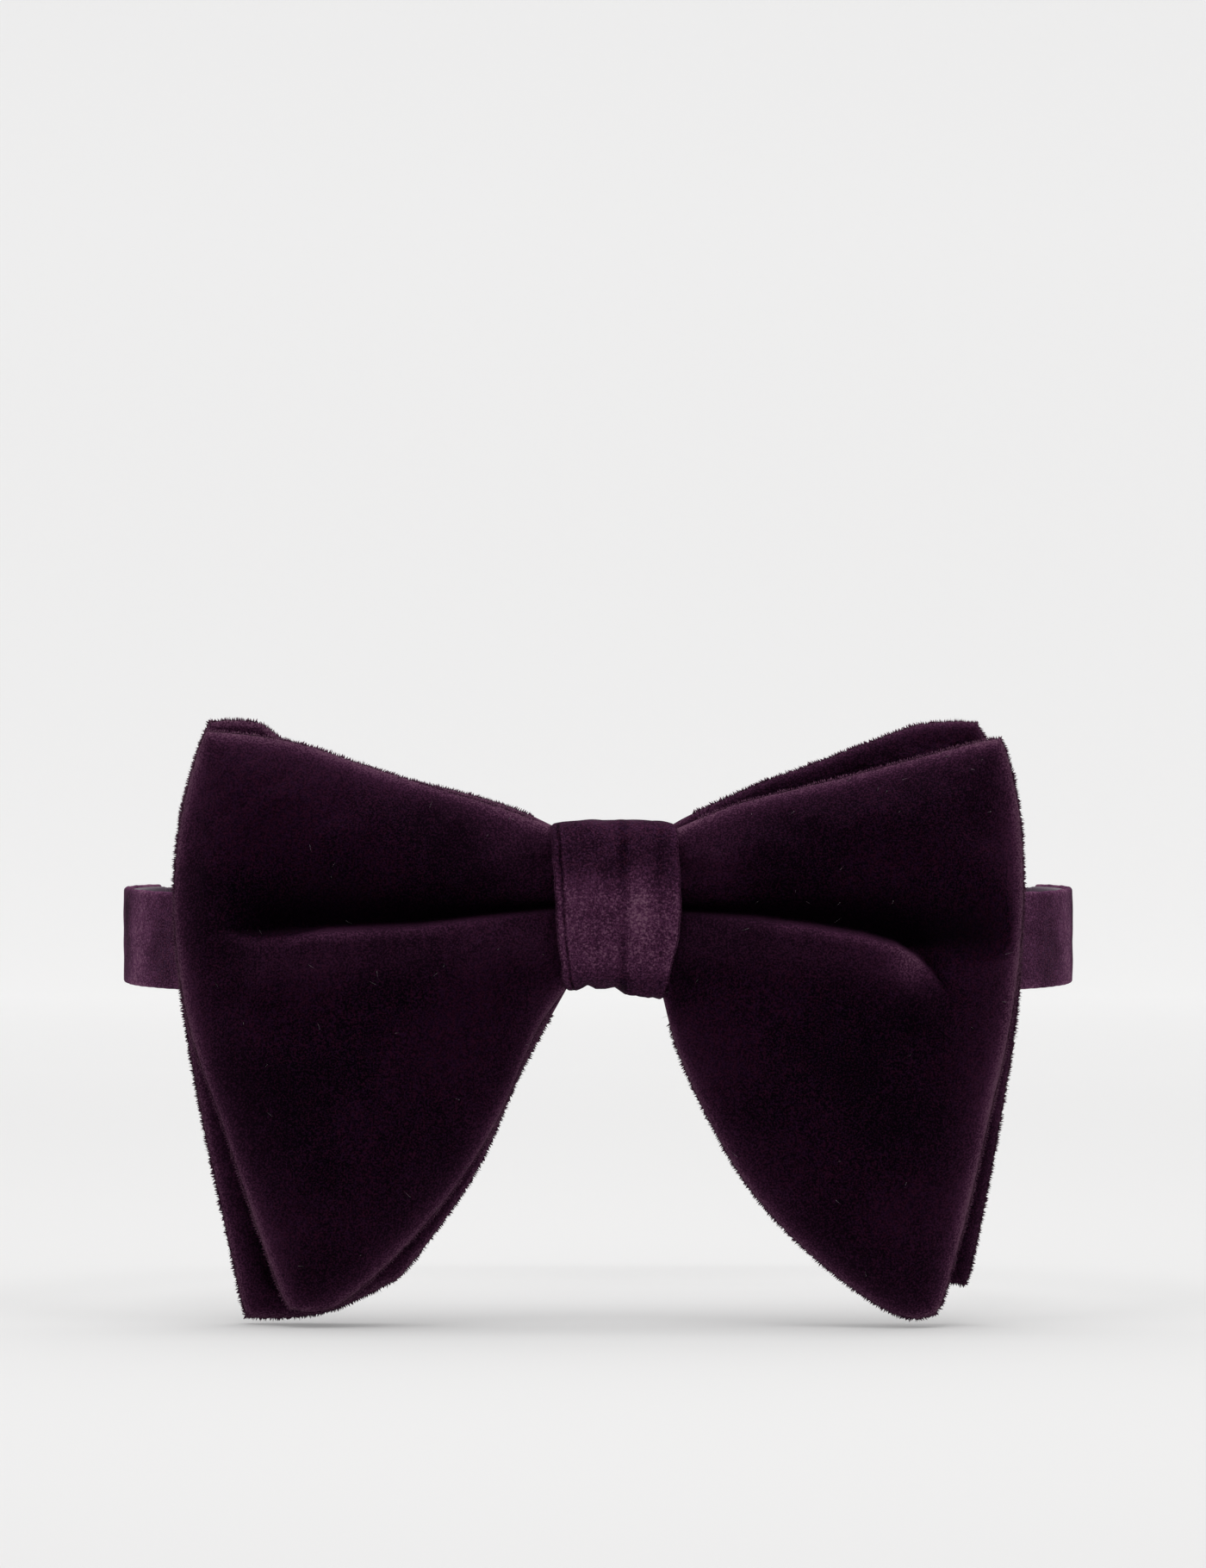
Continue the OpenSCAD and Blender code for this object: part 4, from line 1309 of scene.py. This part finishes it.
def band_brushing_and_sheen(s, z):
    """The band's velvet is brushed in soft vertical clouds, and its two folds carry a painted
    sheen.
    """
    # fold is a painted sheen along the band's two folds
    fold = np.exp(-(BAND_H / 2 - np.abs(z)) / 0.8)
    return np.clip(0.36 + 0.20 * ripple(s, z * 0.3, 21, 11) + 0.28 * fold, 0, 1)


for word, side in (("left", -1), ("right", 1)):
    strips = (("velvet", OUT_R - VELVET_T / 2, BAND_H, VELVET_T, band_velvet, "plum_velvet"),
              ("lining", SIDE_R - BAND_T / 2 + LINING_T / 2, LINING_H, LINING_T, lining_satin,
               "satin_lining"))
    for kind, radius, height, thick, material, slot_name in strips:
        path, length = band_path(side, radius, END_ANGLE)
        velvet_strip = kind == "velvet"
        piece = strip(f"{word}_band_{kind}", path, height, thick, material,
                      pile_relief(0.05, 31) if velvet_strip else None,
                      band_brushing_and_sheen if velvet_strip else None, sag=0.7, drawn=0.22)
        if velvet_strip:
            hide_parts(f"{word}_band_end", "neck_band")
        else:
            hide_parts("neck_band_lining")
        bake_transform(piece)
        print(piece.name, "length", round(length, 1), "mm")


# %% [markdown]
# ## The ribbon and its clasp
# On the left one ribbon goes from the band through the ring and back on itself. On the right
# it goes to the hook, round its bar, and back to the slider. Both of these plies change
# length when the slider moves.

# %% Ribbon
RIBBON_H = run_high[2] - run_low[2]
TURNED_GAP = 0.05


def rib_relief(s, z):
    """Ribs across the ribbon: a shallow wave along its length, and a beaded edge."""
    bead = smooth(np.abs(z), RIBBON_H / 2 - 0.8, RIBBON_H / 2)
    return (0.03 + 0.07 * bead) * np.cos(2 * math.pi * s / RIB) - 0.05


def ribbon(name, stretches, soften=3):
    """A ribbed ribbon along joined stretches, 0.85 mm thick."""
    path, length = even_path(stretches, 0.3, soften)
    piece = strip(name, path, RIBBON_H, RIBBON_T - 0.05, ribbon_cloth, rib_relief)
    print(name, "length", round(length, 1), "mm")
    return piece


def turned_back(x, y):
    """The last two points of a ribbon that is turned back on itself and sewn down."""
    return [(x - 4.5, y), (x - 8.5, y)]


tail_y = BAR_Y + LOOP_R - RIBBON_T - TURNED_GAP
left = ribbon("left_ribbon_cloth", [
    arc((-STRAIGHT, 0), SIDE_R, 180 - END_ANGLE, 90), [(EYE_X, SIDE_R)],
    arc((EYE_X, BAR_Y), LOOP_R, 90, -90, 24), turned_back(EYE_X, tail_y)])
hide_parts("left_ribbon")
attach(left, "left_strap")

outer_ply = ribbon("right_ribbon_cloth", [
    arc((STRAIGHT, 0), SIDE_R, END_ANGLE, 90), [(HOOK_X, SIDE_R)],
    arc((HOOK_X, BAR_Y), LOOP_R, 90, 270, 24)])
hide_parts("right_ribbon", "ribbon_run", "hook_loop")
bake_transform(outer_ply)

inner_ply = ribbon("return_ribbon_cloth", [[(HOOK_X + 0.1, RETURN_Y), (SLIDER_X, RETURN_Y)]], 0)
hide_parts("ribbon_return")
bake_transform(inner_ply)

turned_y = RETURN_Y - RIBBON_T - TURNED_GAP
slider_end = ribbon("slider_ribbon_cloth", [
    arc((SLIDER_X, SLIDER_BAR_Y), SLIDER_R, 90, -90, 24), turned_back(SLIDER_X, turned_y)])
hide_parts("slider_loop")
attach(slider_end, "slider")

# %% [markdown]
# ## The paper floor
# The bow's lower tips touch a roll of white paper that runs back and curves up into a wall. In
# a bright studio such paper is white all over, so it also glows a little, and more with
# distance, where it would catch lamps that aren't in this scene.

# %% Floor
HALF_WIDTH = 3.0
FRONT_Y = -2.2
CURVE_Y = 1.6
CURVE_R = 0.35
WALL_TOP = 2.6
UNDER_TIPS = 0.9
floor_z = box_mm("front_right_face")[0][2] - UNDER_TIPS
t = np.linspace(0, math.pi / 2, 24)
profile_y = np.concatenate([[FRONT_Y], CURVE_Y + CURVE_R * np.sin(t), [CURVE_Y + CURVE_R]]) / MM
profile_z = np.concatenate([[0], CURVE_R * (1 - np.cos(t)), [WALL_TOP]]) / MM + floor_z
xs = np.array([-HALF_WIDTH, HALF_WIDTH]) / MM
floor_points = np.stack([np.repeat(xs[None, :], len(profile_y), 0),
                         np.repeat(profile_y[:, None], 2, 1),
                         np.repeat(profile_z[:, None], 2, 1)], axis=-1)
paper, paper_tree, paper_shader = new_material("paper_roll", "floor")
paper_shader.inputs["Base Color"].default_value = (0.55, 0.55, 0.55, 1)
paper_shader.inputs["Emission Color"].default_value = (1, 1, 1, 1)
far_back = components(paper_tree, "Object")["Y"]
near_glow = stretch(paper_tree, far_back, 0.0, 0.9, 0.195, 0.385)
far_glow = stretch(paper_tree, far_back, 0.9, 1.95, 0.0, 0.135)
paper_tree.links.new(maths(paper_tree, "ADD", near_glow, far_glow),
                     paper_shader.inputs["Emission Strength"])
paper_shader.inputs["Roughness"].default_value = 0.9
paper_shader.inputs["Specular IOR Level"].default_value = 0.0
floor = make_piece("paper_floor", floor_points, grid_faces(*floor_points.shape[:2]),
                   material=paper)
print("floor at", round(float(floor_z), 1), "mm")
